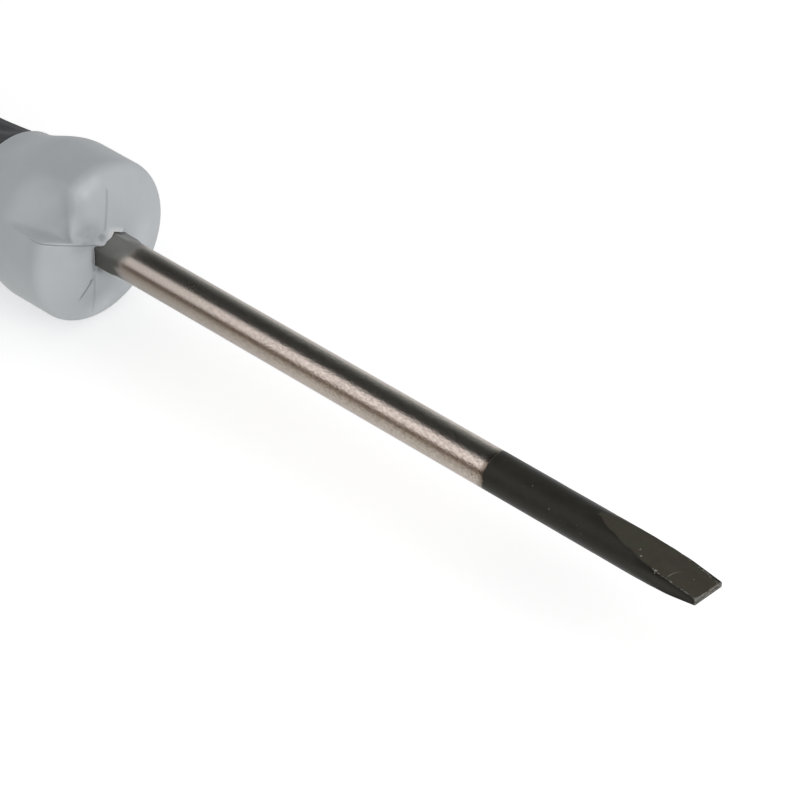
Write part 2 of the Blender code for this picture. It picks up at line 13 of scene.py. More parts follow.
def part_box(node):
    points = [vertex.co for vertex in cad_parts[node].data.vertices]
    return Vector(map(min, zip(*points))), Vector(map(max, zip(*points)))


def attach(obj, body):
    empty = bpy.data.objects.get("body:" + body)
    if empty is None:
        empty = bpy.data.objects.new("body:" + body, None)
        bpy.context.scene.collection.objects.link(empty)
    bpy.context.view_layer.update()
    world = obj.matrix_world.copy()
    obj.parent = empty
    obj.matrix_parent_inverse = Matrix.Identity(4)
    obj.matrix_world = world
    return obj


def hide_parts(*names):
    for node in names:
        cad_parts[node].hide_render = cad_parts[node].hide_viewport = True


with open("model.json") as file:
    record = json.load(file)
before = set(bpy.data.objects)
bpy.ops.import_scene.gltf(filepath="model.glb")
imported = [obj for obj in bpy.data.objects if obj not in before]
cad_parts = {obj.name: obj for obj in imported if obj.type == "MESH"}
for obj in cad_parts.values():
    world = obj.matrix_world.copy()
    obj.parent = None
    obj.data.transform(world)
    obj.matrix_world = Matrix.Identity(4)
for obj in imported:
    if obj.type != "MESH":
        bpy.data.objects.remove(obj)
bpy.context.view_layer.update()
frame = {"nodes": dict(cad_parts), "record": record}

# Camera, fitted to the edges of the blade and of the nose
VIEW_AZIMUTH = radians(42.44)
VIEW_ELEVATION = radians(37.53)
VIEW_ROLL = radians(0.69)
VIEW_DISTANCE = 0.3168
LENS = 152.0
SENSOR_WIDTH = 36.0
CLIP_START = 0.01
AIM_FROM_TIP = 0.045
AIM_RIGHT = 0.00627
AIM_UP = -0.00213

# Blade
TIP_WIDTH = 0.0035
TIP_THICKNESS = 0.0006
GRIND_LENGTH = 0.0117
SIDE_TAPER_LENGTH = 0.0075
TIP_EDGE = 0.00010
END_SKEW = radians(3.0)
SKEW_PIVOT = -0.0014
SKEW_FADE = 0.003
GRIND_ROLL = radians(1.4)
RUNOUT_START = 0.94
RUNOUT_END = 2 - RUNOUT_START
GRIND_SCALLOP = 0.000070
SCALLOP_LENGTH = 0.0023
SCALLOP_START = 0.0029
EDGE_SHARPNESS = 70
EDGE_GAP = radians(1.5)
SMALL = 0.000001
WEAR_REACH = 0.00009
EDGE_WEAR = 1.06
END_WEAR = 1.32
FACE_WEAR = 2.3
SHADE_REACH = 0.00045
HEX_ACROSS_FLATS = 0.0038
HEX_EXPOSED = 0.0028
HEX_RUNOUT = 0.0014
ANCHOR_SETBACK = 0.008
ANCHOR_LENGTH = 0.003
ANCHOR_RADIUS = 0.0015
BLACK_LENGTH = 0.02483
BLACK_TILT = 0.14
BLACK_EDGE = 0.00006
RAGGED_SIZE = 0.0011
RAGGED_REACH = 0.00018
WEAR_START = 0.0045
WEAR_END = 0.0100

# Grain and roughness of the blade: on the plating, near the handle, on the hexagon and on the black finish
PLATING_GRAIN = 0.000036
CALM_GRAIN = 0.000006
OXIDE_GRAIN = 0.000012
PLATING_ROUGHNESS = (0.230, 0.180)
CALM_ROUGHNESS = 0.285
HEX_ROUGHNESS = 0.45
OXIDE_ROUGHNESS = (0.36, 0.46)
CALM_START = 0.045
CALM_MARGIN = 0.0030

# Tones of the blade: a pair runs from the darker to the lighter parts of a cloudy finish
DULL_PLATING = ((0.53, 0.460, 0.412), (0.60, 0.517, 0.465))
BRIGHT_PLATING = ((0.71, 0.618, 0.556), (0.80, 0.692, 0.624))
# Painted shade: the plating darkens towards the handle, where the nose shades it and is mirrored in it
NOSE_SHADED_PLATING = (0.43, 0.380, 0.350)
NOSE_SHADE_START = 0.040
NOSE_SHADE_SHARE = 0.8
TINTED_PLATING = (0.17, 0.120, 0.085)
TINT_REACH = 0.0008
TINT_SHARE = 0.8
PIT_REACH = 0.0030
PIT_SIZE = 0.00030
PIT_RANGE = (0.56, 0.66)
PIT_SHARE = 0.6
# Dull hexagon: its own darker finish, made lighter towards its top by painted light
HEX_TONES = ((0.102, 0.103, 0.093), (0.24, 0.24, 0.23))
HEX_LIGHT = (0.0004, 0.0019)
HEX_METAL_LOSS = 0.65
DULL_LEAN_ABOVE = 0.50
DULL_LEAN_BELOW = -0.80
DULL_EDGE = (-0.0003, 0.0008)
OXIDE_TONES = ((0.017, 0.0166, 0.0138), (0.037, 0.0345, 0.0285))
# Ground flats: their own ground finish, made lighter than the rest of the tip partly by painted light
GROUND_AND_LIT_DARK = ((0.044, 0.0365, 0.0290), (0.044, 0.0420, 0.0285))
GROUND_AND_LIT_LIGHT = ((0.062, 0.0515, 0.0415), (0.062, 0.0590, 0.0410))
# Painted shade: a dark band on the round flank just beside each ground flat's worn edge
SHADE_TONE = (0.010, 0.0085, 0.0062)
BARE_TONE = (0.17, 0.163, 0.143)
CHIP_TONE = (0.32, 0.31, 0.28)

# Noise on the blade: size of its lumps, stretch along the tool, detail, and the range that shows
FINE_SIZE = 0.00026
FINE_STRETCH = (0.85, 1.0, 1.0)
CLOUD_SIZE = 0.0011
CLOUD_STRETCH = (0.3, 1.0, 1.0)
OXIDE_SIZE = 0.0016
OXIDE_DETAIL = (5.0, 0.6)
PATCH_SIZE = 0.0012
PATCH_RANGE = (0.36, 0.64)
SPECK_SIZE = 0.00022
SPECK_DETAIL = 2.0
SPECK_RANGE = (0.735, 0.775)
RUB_SIZE = 0.0003
RUB_DETAIL = (4.0, 0.7)
RUB_RANGE = (0.45, 0.64)

# Chips of the black finish: distance from the tip, to the side, and size. Their outline is ragged.
CHIPS = (
    (0.00712, -0.00073, 0.00011),
    (0.00658, -0.00128, 0.00014),
    (0.00455, -0.00164, 0.00018),
    (0.00460, -0.00172, 0.00014),
    (0.00168, 0.00004, 0.00007),
    (0.01939, -0.00097, 0.00008),
    (0.01681, -0.00172, 0.00006),
)
CHIP_RAGGED = 0.00010
CHIP_UNEVEN = 2.6
CHIP_EDGE = (1.5, 2.0)
SCRATCH_CENTRE = (0.00129, -0.00127, 0.0)
SCRATCH_RADIUS = 0.0021
SCRATCH_WIDTH = 0.00006
SCRATCH_SIDES = (-0.00155, 0.00020)
SCRATCH_STRENGTH = 0.26
SCRATCH_EDGE = (0.25, 0.6)
SCRATCH_BEGIN = 0.0002
SCRATCH_FADE = 0.0005

# Handle core
BLADE_REACH = 0.075
NOSE_DOME_RADIUS = 0.020
NOSE_RIM_FILLET = 0.0012
GUARD_LENGTH = 0.0075
COLLAR_EDGE = 0.0003
FRONT_SEAT_RADIUS = 0.0050
MAIN_SEAT_RADIUS = 0.0055
NECK_RADIUS = 0.0052
BOSS_RADIUS = 0.0042
BORE_RADIUS = 0.00265
BORE_DEPTH = 0.00805
SEAT_GAP = 0.00005
MOUTH_FLATS = 0.00392
MOUTH_DEPTH = 0.0008
MOUTH_REACH = 0.0031
MOUTH_GAP = 0.00014
MOUTH_GAP_ANGLE = radians(18)
MOUTH_GAP_FACING = (0.85, 0.12)
LIP_HEIGHT = 0.00048
LIP_WIDTH = 0.00044
LIP_ANGLE = radians(-6)
LIP_PALE_START = radians(-28)
LIP_PALE_RUN = radians(22)
LIP_PALE_LEAST = 0.3
NOTCH_DEPTH = 0.00034
NOTCH_ANGLE = radians(-100)
EDGE_FACING = (0.60, 0.25)

# Moulding seams of the nose: where each starts and ends (up, side), its depth and its half-width
SEAM_ABOVE = ((0.00146, -0.00195), (0.00370, -0.0078), 0.00013, 0.00009)
SEAM_BELOW = ((-0.0024, -0.00255), (-0.0044, -0.0039), 0.00015, 0.00014)
SEAM_TOP = ((0.0026, -0.0008), (0.0066, 0.0006), 0.00005, 0.00020)
SEAM_BOTTOM = ((-0.0020, -0.0024), (-0.0074, -0.0019), 0.00004, 0.00020)
SEAMS = (SEAM_ABOVE, SEAM_BELOW, SEAM_TOP, SEAM_BOTTOM)
SEAM_EDGE = (0.3, 1.2)
SEAM_END = (-0.0004, 0.0002)
DUST_TONE = (0.13, 0.135, 0.135)
DUST_MOST = 0.60
DUST_DEPTH = 0.00018
DUST_FADE = (0.0025, 0.0040)

# Sunken field between the two deep seams, and the dent beside the hole
FIELD_DEPTH = 0.00016
FIELD_CROWN = 0.70
FIELD_STEP = 0.00012
FIELD_SLOPE = 0.0030
FIELD_FADE = 0.6
DENT_PLACE = (0.00200, -0.00118)
DENT_DEPTH = 0.00034
DENT_RADIUS = 0.00036

# Painted shade and painted highlights on the nose: place (distance from the tip, up, side), reach, strength
# and brightness. The darker ones paint shade on the upper left of the face and side, in the dent beside the
# hole and under the shaft; the lighter ones paint highlights along the top and bottom of the rim, on the
# right of the face and over the hollow.
PAINTED_SHADE_AND_HIGHLIGHTS = (
    ((0.0755, 0.0028, -0.0031), 0.0027, 0.56, 0.22),
    ((0.0763, 0.0060, -0.0036), 0.0022, 0.22, 0.22),
    ((0.0753, 0.0020, -0.0012), 0.0006, 0.55, 0.22),
    ((0.0790, 0.0058, -0.0062), 0.0016, 0.35, 0.22),
    ((0.0760, -0.0046, -0.0022), 0.0022, 0.20, 0.22),
    ((0.0764, 0.0076, -0.0006), 0.0011, 0.42, 0.60),
    ((0.0764, 0.0072, -0.0019), 0.0012, 0.46, 0.60),
    ((0.0754, -0.0008, 0.0040), 0.0034, 0.38, 0.60),
    ((0.0765, -0.0070, -0.0008), 0.0028, 0.55, 0.60),
    ((0.0770, 0.0038, -0.0043), 0.0024, 0.48, 0.60),
    ((0.0782, 0.0062, -0.0038), 0.0022, 0.30, 0.60),
)
PAINTED_SPOT_TONE = (0.945, 0.985, 1.02)
PAINTED_SPOT_SIZE = 0.0014
PAINTED_SPOT_PATCHES = (0.25, 0.75, 0.6, 1.3)

# Grey plastic. A bump is given by its depth and its strength.
GREY_TONES = ((0.400, 0.422, 0.440), (0.455, 0.475, 0.492))
GREY_CLOUD = 0.0030
GREY_PORE = 0.00018
GREY_ROUGHNESS = (0.40, 0.52)
GREY_BUMP = (0.000006, 0.8)
# Pale top of the lip: partly the whiter plastic of the flash, partly painted highlight
PALE_TONE = (0.56, 0.575, 0.580)
PALE_RANGE = (0.08, 0.55)

# Hollow on the side of the nose, above the upper seam
HOLLOW_OFFSET = 0.0049
HOLLOW_LEAN = 0.25
HOLLOW_SOFT = 0.0004
HOLLOW_DROP = 0.00085
HOLLOW_END = radians(335)
HOLLOW_RUN = radians(26)
HOLLOW_START = 0.0028
HOLLOW_RIM = 0.0005
HOLLOW_EASE = 0.0009

# Soft grips
FRONT_WAIST = 0.0007
FLUTE_COUNT = 16
FLUTE_DEPTH = 0.00035
FLUTE_FADE = 0.0025
GRIP_CORNER_RADIUS = 0.0032
GRIP_RISE = 0.011
GRIP_FALL = 0.013
GRIP_END_ROUND = 0.00025
GROOVE_COUNT = 7
GROOVE_PITCH = 0.0025
GROOVE_ROUNDING = 0.0030
GROOVE_GAIN = 1.6
GROOVE_SHIFT = 0.6
RUBBER_TONES = ((0.036, 0.038, 0.041), (0.056, 0.058, 0.062))
RUBBER_CLOUD = 0.0040
RUBBER_PORE = 0.00015
RUBBER_ROUGHNESS = (0.62, 0.80)
RUBBER_BUMP = (0.000008, 0.6)
STIPPLE_SIZE = 0.00042
STIPPLE_BUMP = (0.00002, 0.7)

# Swivel cap
CAP_FOOT_EDGE = 0.0003
CAP_EDGE = 0.0014
CAP_FLUTE_COUNT = 12
CAP_FLUTE_DEPTH = 0.00045
CAP_BORE_RADIUS = 0.00557
CAP_WEB_HOLE = 0.0036
PAD_RIM = 0.0009
PAD_DISH = 0.0012
PAD_DISH_END = -89

# Smaller pieces: size of the clouds, tones, size of the pores, and roughness
PLASTICS = {
    "ring_plastic": (0.0025, ((0.085, 0.115, 0.145), (0.115, 0.145, 0.175)), 0.0002, (0.28, 0.40)),
    "cage_plastic": (0.0010, ((0.56, 0.52, 0.41), (0.64, 0.60, 0.49)), 0.00012, (0.42, 0.58)),
}
METALS = {
    "bearing_steel": (0.0012, ((0.55, 0.55, 0.56), (0.64, 0.64, 0.65)), 0.00006, (0.16, 0.28)),
    "insert_brass": (0.0012, ((0.60, 0.41, 0.15), (0.70, 0.50, 0.21)), 0.00006, (0.24, 0.38)),
}
PLASTIC_BUMP = (0.000003, 0.6)
METAL_BUMP = (0.000002, 0.5)
TURNED_STRETCH = (1.0, 0.12, 0.12)

# Studio: light from all round, glow of the floor (as light, to the camera, in reflections), screens and lamp
AMBIENT = 0.66
FLOOR_LIGHT = 0.34
FLOOR_SEEN = 0.46
FLOOR_MIRRORED = 0.10
SCREEN_RADIUS = 0.9
SCREEN_ENDS = (-1.3, 0.9)
SHEET_ANGLES = (-86.0, 28.5)
SHEET_TONE = (0.875, 0.97, 0.95)
SHEET_DARK = 0.043
SHEET_RISE = 0.52
SHEET_FALL_START = 0.95
SHEET_FALL_RUN = 0.85
SHEET_FALL_POWER = 1.6
SHEET_POINTS = 40
MAT_ANGLE = 77.0
MAT_LIFT = 0.0005
MAT_TONES = (
    (0.105, (0.120, 0.079, 0.054)),
    (0.066, (0.140, 0.105, 0.080)),
    (0.038, (0.300, 0.270, 0.230)),
    (0.0205, (0.460, 0.450, 0.410)),
    (0.0112, (0.560, 0.565, 0.530)),
    (0.0045, (0.640, 0.660, 0.640)),
)
FLOOR_HALF = 2.0
FLOOR_DROP = 0.00005
FLOOR_TONE = (0.80, 0.80, 0.80)
FLOOR_ROUGHNESS = 0.9
KEY_DIRECTION = (0.88, 0.08, 0.32)
KEY_DISTANCE = 0.6
KEY_SIZE = 0.35
KEY_POWER = 1.05

# Fineness of the meshes: angle of a sharp edge, points round a section, and steps along a piece
SHARP_ANGLE = radians(38)
BLADE_FLAT_POINTS = 16
BLADE_ROUND_POINTS = 8
BLADE_SIDE_POINTS = 6
CORE_POINTS = 480
TURN_POINTS = 192
HEX_CORNER_POINTS = 24
EDGE_POINTS = 6
CAP_EDGE_POINTS = 14
PAD_EDGE_POINTS = 8
PAD_DISH_POINTS = 24
TIP_ROUND_STEPS = 6
GRIND_STEPS = 80
BLEND_STEPS = 40
SHAFT_STEPS = 24
RUNOUT_STEPS = 14
MOUTH_STEPS = 18
DOME_STEPS = 52
RIM_STEPS = 16
GUARD_STEPS = 28
SLEEVE_END_STEPS = 7
FRONT_STEPS = 60
MAIN_STEPS = 240
CAP_STEPS = 30

# Noise: its usual range, and the detail of clouds and of fine grain
NOISE_RANGE = (0.3, 0.7)
CLOUD_DETAIL = 4.0
GRAIN_DETAIL = (4.0, 0.65)

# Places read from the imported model
TIP_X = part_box("blade")[1].x
AXIS_Z = (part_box("blade")[0].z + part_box("blade")[1].z) / 2


def span(node):
    """Where a node starts and ends, measured from the tip."""
    low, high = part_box(node)
    return TIP_X - high.x, TIP_X - low.x


def seat(node):
    """The span of a node with the gap that the core leaves at both ends."""
    start, end = span(node)
    return start - SEAT_GAP, end + SEAT_GAP


def half_height(node):
    low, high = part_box(node)
    return (high.z - low.z) / 2


def half_width(node):
    low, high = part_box(node)
    return (high.y - low.y) / 2


# The corners of the formed hexagon stand above the round shaft, so the shaft is measured across
SHAFT_RADIUS = half_width("blade")
SHANK_END = span("blade")[1]
HEX_START = BLADE_REACH - HEX_EXPOSED
NOSE_RADIUS = half_height("handle_core")
COLLAR_RADIUS = half_height("front_grip") + COLLAR_EDGE
REAR_RADIUS = half_height("marker_ring")


def place(along, up, side):
    return TIP_X - along, side, AXIS_Z + up


def polar(radius, angle):
    """Height over the axis and distance to the side, for an angle from the top."""
    return radius * cos(angle), radius * sin(angle)


def smooth_step(value):
    value = min(max(value, 0.0), 1.0)
    return value * value * (3 - 2 * value)


def mix(start, end, share):
    return start + (end - start) * share


def steps(start, end, count):
    """Evenly spaced values with both ends."""
    return [mix(start, end, i / (count - 1)) for i in range(count)]


def arc(centre_r, centre_along, radius, start, end, points):
    """Points of an arc in the profile plane; angles in degrees, zero outwards, 90 towards the cap."""
    angles = [radians(a) for a in steps(start, end, points)]
    return [(centre_r + radius * cos(a), centre_along + radius * sin(a)) for a in angles]


def full_turn(points):
    return [tau * i / points for i in range(points)]


def shaped_ring(along, points, radius_at):
    """A ring whose radius depends on the angle from the top."""
    return [place(along, *polar(radius_at(a), a)) for a in full_turn(points)]


def turned_rings(outline, points=TURN_POINTS):
    return [shaped_ring(along, points, lambda a: radius) for radius, along in outline]


def add_object(name, data):
    thing = bpy.data.objects.new(name, data)
    bpy.context.scene.collection.objects.link(thing)
    return thing


def loft(name, rings, hollow, values):
    """A smooth skin over rings of equal point count. A hollow piece closes back on its first ring.

    Values are named lists with one number for each point.
    """
    count = len(rings[0])
    vertices = [point for ring in rings for point in ring]
    faces = []
    for i in range(len(rings) if hollow else len(rings) - 1):
        near = i * count
        far = (i + 1) % len(rings) * count
        for j in range(count):
            k = (j + 1) % count
            faces.append((near + j, near + k, far + k, far + j))
    if not hollow:
        faces.append(tuple(range(count - 1, -1, -1)))
        faces.append(tuple(range(len(vertices) - count, len(vertices))))
    mesh = bpy.data.meshes.new(name)
    mesh.from_pydata(vertices, [], faces)
    mesh.shade_smooth()
    mesh.set_sharp_from_angle(angle=SHARP_ANGLE)
    for key, numbers in (values or {}).items():
        attribute = mesh.attributes.new(key, "FLOAT", "POINT")
        attribute.data.foreach_set("value", numbers)
    return add_object(name, mesh)


def fit_piece(node, body, material, rings, hollow=False, values=None):
    """A skin over the rings that stands for a node, rides on its body and takes its finish."""
    piece = loft(node + "_surface", rings, hollow, values)
    piece.data.materials.append(material)
    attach(piece, body)
    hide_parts(node)


# Blade


def flat_height(along):
    """Height of a ground flat over the axis. It runs out along the shaft and is scalloped by the wheel."""
    share = along / GRIND_LENGTH
    if RUNOUT_START < share < RUNOUT_END:
        share -= (share - RUNOUT_START) ** 2 / (4 * (1 - RUNOUT_START))
    elif share >= RUNOUT_END:
        share += 1 - RUNOUT_END
    plane = mix(TIP_THICKNESS / 2, SHAFT_RADIUS, share)
    wave = abs(sin(pi * (along - SCALLOP_START) / SCALLOP_LENGTH))
    return plane - GRIND_SCALLOP * wave * smooth_step((along - SCALLOP_START) / SCALLOP_LENGTH)


def side_width(along):
    return mix(TIP_WIDTH / 2, SHAFT_RADIUS, along / SIDE_TAPER_LENGTH)


def soft_minimum(lengths):
    """The shortest length, eased a little where two are alike, so that edges are not razor sharp."""
    total = sum((SHAFT_RADIUS / length) ** EDGE_SHARPNESS for length in lengths)
    return SHAFT_RADIUS * total ** (-1 / EDGE_SHARPNESS)


def crowded(start, end, count):
    """Values from start towards end, without end, crowded near both."""
    shares = [i / count for i in range(count)]
    return [mix(start, end, s ** 3 * (s * (6 * s - 15) + 10)) for s in shares]


def tip_edges(along):
    """Angles of the two edges of the tip's section: flat to round, and round to side."""
    flat = flat_height(along)
    side = side_width(along)
    corner = atan2(side, flat)
    first = min(acos(min(flat / SHAFT_RADIUS, 1.0)), corner - EDGE_GAP)
    second = max(asin(min(side / SHAFT_RADIUS, 1.0)), corner + EDGE_GAP)
    return max(first, EDGE_GAP), min(second, pi / 2 - EDGE_GAP)


def tip_angles(along):
    """Angles round the section, crowded near its edges and mirrored into the four quarters."""
    first, second = tip_edges(along)
    quarter = crowded(0.0, first, BLADE_FLAT_POINTS)
    quarter += crowded(first, second, BLADE_ROUND_POINTS)
    quarter += crowded(second, pi / 2, BLADE_SIDE_POINTS)
    mirrored = [pi - a for a in reversed(quarter[1:])]
    half = quarter + [pi / 2] + mirrored
    return half + [pi + a for a in half]


def tip_section(along, inset=0.0):
    """Points (up, side) of the ground shaft, with the wear, the flat's share and the shade of each."""
    angles = tip_angles(along)
    even = full_turn(len(angles))
    ease = smooth_step((along - GRIND_LENGTH) / GRIND_LENGTH)
    edges = tip_edges(along)
    worn = 1 - smooth_step((along - WEAR_START) / (WEAR_END - WEAR_START))
    points = []
    wear = []
    flat = []
    shade = []
    for angle, even_angle in zip(angles, even):
        plain_angle = mix(angle, even_angle, ease)
        a = plain_angle + GRIND_ROLL * (1 - ease) * cos(plain_angle)
        up = max(abs(cos(a)) + tan(GRIND_ROLL) * sin(a), SMALL)
        side = max(abs(sin(a)), SMALL)
        radius = soft_minimum(((flat_height(along) - inset) / up, (side_width(along) - inset) / side,
                               SHAFT_RADIUS - inset))
        points.append(polar(radius, a))
        folded = atan2(abs(sin(plain_angle)), abs(cos(plain_angle)))
        outside = (folded - edges[0]) * radius
        at_edge = exp(-(outside / WEAR_REACH) ** 2) * worn
        from_end_edge = along / TIP_EDGE - 1
        at_end = exp(-(from_end_edge / (FACE_WEAR if from_end_edge < 0 else 1)) ** 2)
        wear.append(max(EDGE_WEAR * at_edge, END_WEAR * at_end))
        flat.append(smooth_step(0.5 - outside / WEAR_REACH) if along < GRIND_LENGTH * RUNOUT_END else 0.0)
        # Painted shade on the round flank beside the flat's edge
        below_edge = smooth_step(outside / WEAR_REACH) * exp(-(outside / SHADE_REACH) ** 2)
        shade.append(below_edge * worn)
    return points, {"wear": wear, "flat": flat, "shade": shade}


def skewed(along, side):
    """Distance from the tip of a point near the end, which is ground a little out of square."""
    fade = 1 - smooth_step(along / SKEW_FADE)
    return along - tan(END_SKEW) * (side - SKEW_PIVOT) * fade


def hex_radius(angle, across_flats):
    """Radius of a hexagon with corners at its top and bottom."""
    sixth = radians(60)
    return across_flats / 2 / cos(angle % sixth - sixth / 2)


def shank_ring(hex_share, scale, along, points):
    """A ring of the shank, from round to hexagonal."""
    def radius_at(angle):
        return scale * mix(SHAFT_RADIUS, hex_radius(angle, HEX_ACROSS_FLATS), hex_share)
    return shaped_ring(along, points, radius_at)


def build_blade(material):
    rings = []
    values = {"wear": [], "flat": [], "shade": []}
    corner = steps(0.0, pi / 2, TIP_ROUND_STEPS)
    stations = [(TIP_EDGE * (1 - cos(a)), TIP_EDGE * (1 - sin(a))) for a in corner]
    stations += [(along, 0.0) for along in steps(2 * TIP_EDGE, GRIND_LENGTH, GRIND_STEPS)]
    stations += [(along, 0.0) for along in steps(GRIND_LENGTH, 2 * GRIND_LENGTH, BLEND_STEPS)[1:]]
    for along, inset in stations:
        points, ring_values = tip_section(along, inset)
        rings.append([place(skewed(along, side), up, side) for up, side in points])
        for name, numbers in ring_values.items():
            values[name] += numbers

    count = len(rings[0])
    anchor_end = SHANK_END - ANCHOR_SETBACK
    anchor = anchor_end - ANCHOR_LENGTH
    anchor_scale = ANCHOR_RADIUS / SHAFT_RADIUS
    shank = [(0.0, 1.0, along) for along in steps(2 * GRIND_LENGTH, HEX_START, SHAFT_STEPS)[1:]]
    shank += [(smooth_step(share), 1.0, HEX_START + HEX_RUNOUT * share)
              for share in steps(0.0, 1.0, RUNOUT_STEPS)[1:]]
    shank += [(1.0, 1.0, anchor), (0.0, anchor_scale, anchor), (0.0, anchor_scale, anchor_end),
              (1.0, 1.0, anchor_end), (1.0, 1.0, SHANK_END)]
    rings += [shank_ring(*station, count) for station in shank]
    for numbers in values.values():
        numbers += [0.0] * (count * len(shank))
    fit_piece("blade", "handle", material, rings, values=values)


# Handle core


def seam_frame(seam):
    """Start of a seam, its unit direction and its length."""
    start = Vector(seam[0])
    run = Vector(seam[1]) - start
    return start, run.normalized(), run.length


def seam_depth(seam, point):
    """Depth of a seam's groove at a point of the nose face."""
    start, direction, length = seam_frame(seam)
    along = (point - start).dot(direction)
    beyond = max(-along, along - length, 0.0)
    across = direction.orthogonal().dot(point - start)
    depth, width = seam[2:]
    return depth * exp(-(across * across + beyond * beyond) / width ** 2)


def field_depth(point):
    """The sunken field: stepped at the seam above, and easing out along the seam below it."""
    start, direction, _ = seam_frame(SEAM_ABOVE)
    below_upper = (point - start).dot(Vector((direction.y, -direction.x)))
    start, direction, length = seam_frame(SEAM_BELOW)
    offset = point - start
    above_lower = offset.dot(Vector((-direction.y, direction.x)))
    ease = smooth_step(offset.dot(direction) / length)
    lower_step = mix(FIELD_STEP, FIELD_SLOPE, ease)
    inside = smooth_step(below_upper / FIELD_STEP) * smooth_step(above_lower / lower_step)
    crown = FIELD_CROWN * smooth_step(min(below_upper, above_lower) / FIELD_SLOPE)
    fade = 1 - FIELD_FADE * smooth_step(point.length / NOSE_RADIUS)
    return FIELD_DEPTH * inside * (1 - crown) * fade


def above_seam_share(angle, radius):
    """Zero below the upper seam, and one a little way above it."""
    point = Vector(polar(radius, angle))
    start, direction, _ = seam_frame(SEAM_ABOVE)
    above_seam = (point - start).dot(Vector((-direction.y, direction.x)))
    return smooth_step(above_seam / HOLLOW_EASE)


def hollow_share(angle, radius):
    """How fully the hollow is developed: it starts at the upper seam and runs out towards the top."""
    past = (HOLLOW_END - angle) % tau
    if past > pi / 2:
        return 0.0
    return smooth_step(past / HOLLOW_RUN) * above_seam_share(angle, radius)


def hollow_cut(angle, dome_edge):
    """How far the flat side of the hollow lies inside the edge of the dome."""
    from_top = tau - angle
    if from_top > pi / 2:
        return 0.0
    cut = dome_edge - HOLLOW_OFFSET / (sin(from_top) + HOLLOW_LEAN * cos(from_top))
    return (cut + hypot(cut, HOLLOW_SOFT)) / 2 * above_seam_share(angle, dome_edge)


def facing(angle, middle, start, ease):
    """One where an angle is close to the middle one, and zero away from it."""
    return smooth_step((cos(angle - middle) - start) / ease)


def hole_edge_share(angle, radius, middle):
    """How much a point belongs to the edge of the hole, on the side that faces the middle angle."""
    beside = (radius - hex_radius(angle, MOUTH_FLATS)) / LIP_WIDTH
    return facing(angle, middle, *EDGE_FACING) * exp(-beside * beside)


def nose_depth(angle, radius):
    """How far the nose lies below its plain dome."""
    point = Vector(polar(radius, angle))
    depth = field_depth(point) + sum(seam_depth(seam, point) for seam in SEAMS)
    dent = (point - Vector(DENT_PLACE)).length / DENT_RADIUS
    depth += DENT_DEPTH * exp(-dent * dent)
    notch = NOTCH_DEPTH * hole_edge_share(angle, radius, NOTCH_ANGLE)
    depth += notch - LIP_HEIGHT * hole_edge_share(angle, radius, LIP_ANGLE)
    fall = smooth_step((radius - HOLLOW_START) / (NOSE_RADIUS - NOSE_RIM_FILLET - HOLLOW_START))
    return depth + HOLLOW_DROP * fall * hollow_share(angle, radius)


def dome_sag(radius):
    return NOSE_DOME_RADIUS - sqrt(NOSE_DOME_RADIUS ** 2 - radius ** 2)


def nose_line(angle):
    """Points (radius, along) from the mouth of the socket over the dome and rim to the straight guard."""
    rim = mix(NOSE_RIM_FILLET, HOLLOW_RIM, hollow_share(angle, NOSE_RADIUS - NOSE_RIM_FILLET))
    inner = NOSE_DOME_RADIUS - rim
    tilt = asin((NOSE_RADIUS - rim) / inner)
    rim_centre = BLADE_REACH + NOSE_DOME_RADIUS - inner * cos(tilt)
    dome_edge = NOSE_DOME_RADIUS * sin(tilt)
    inward = hollow_cut(angle, dome_edge)
    mouth = hex_radius(angle, MOUTH_FLATS)
    mouth += MOUTH_GAP * facing(angle, MOUTH_GAP_ANGLE, *MOUTH_GAP_FACING)
    edge = dome_edge - inward
    face = steps(mouth, MOUTH_REACH, MOUTH_STEPS)[:-1] + steps(MOUTH_REACH, edge, DOME_STEPS)
    line = [(radius, BLADE_REACH + dome_sag(radius) + nose_depth(angle, radius)) for radius in face]

    shift = line[-1][1] - BLADE_REACH - dome_sag(dome_edge)
    side_depth = nose_depth(angle, NOSE_RADIUS) - HOLLOW_DROP * hollow_share(angle, NOSE_RADIUS)
    for share in steps(0.0, 1.0, RIM_STEPS)[1:]:
        turn = mix(tilt - pi / 2, 0.0, share)
        fillet = rim - side_depth * smooth_step(share)
        line.append((NOSE_RADIUS - rim - inward + fillet * cos(turn),
                     rim_centre + shift + rim * sin(turn)))
    for share in steps(0.0, 1.0, RIM_STEPS)[1:]:
        radius = NOSE_RADIUS - (inward + side_depth) * (1 - smooth_step(share))
        line.append((radius, mix(rim_centre + shift, BLADE_REACH + GUARD_LENGTH, share)))
    return line


def nose_rings():
    angles = full_turn(CORE_POINTS)
    lines = [nose_line(angle) for angle in angles]
    rings = []
    for row in zip(*lines):
        rings.append([place(along, *polar(radius, a)) for a, (radius, along) in zip(angles, row)])
    return rings


def nose_sheen(rings):
    """For each point of the core, how pale it is. Only the top of the lip is: partly the whiter plastic of
    its flash, partly painted highlight.
    """
    shares = []
    for ring in rings:
        for x, side, z in ring:
            along = TIP_X - x
            up = z - AXIS_Z
            angle = atan2(side, up)
            radius = hypot(up, side)
            share = 0.0
            if along < BLADE_REACH + MOUTH_DEPTH / 2:
                turned = smooth_step((angle - LIP_PALE_START) / LIP_PALE_RUN)
                share = hole_edge_share(angle, radius, LIP_ANGLE) * mix(LIP_PALE_LEAST, 1.0, turned)
            shares.append(share)
    return shares


def collar(radius, start, end):
    """Outline of a collar with rounded edges."""
    edge = COLLAR_EDGE
    front = arc(radius - edge, start + edge, edge, -90, 0, EDGE_POINTS)
    back = arc(radius - edge, end - edge, edge, 0, 90, EDGE_POINTS)
    return front + back


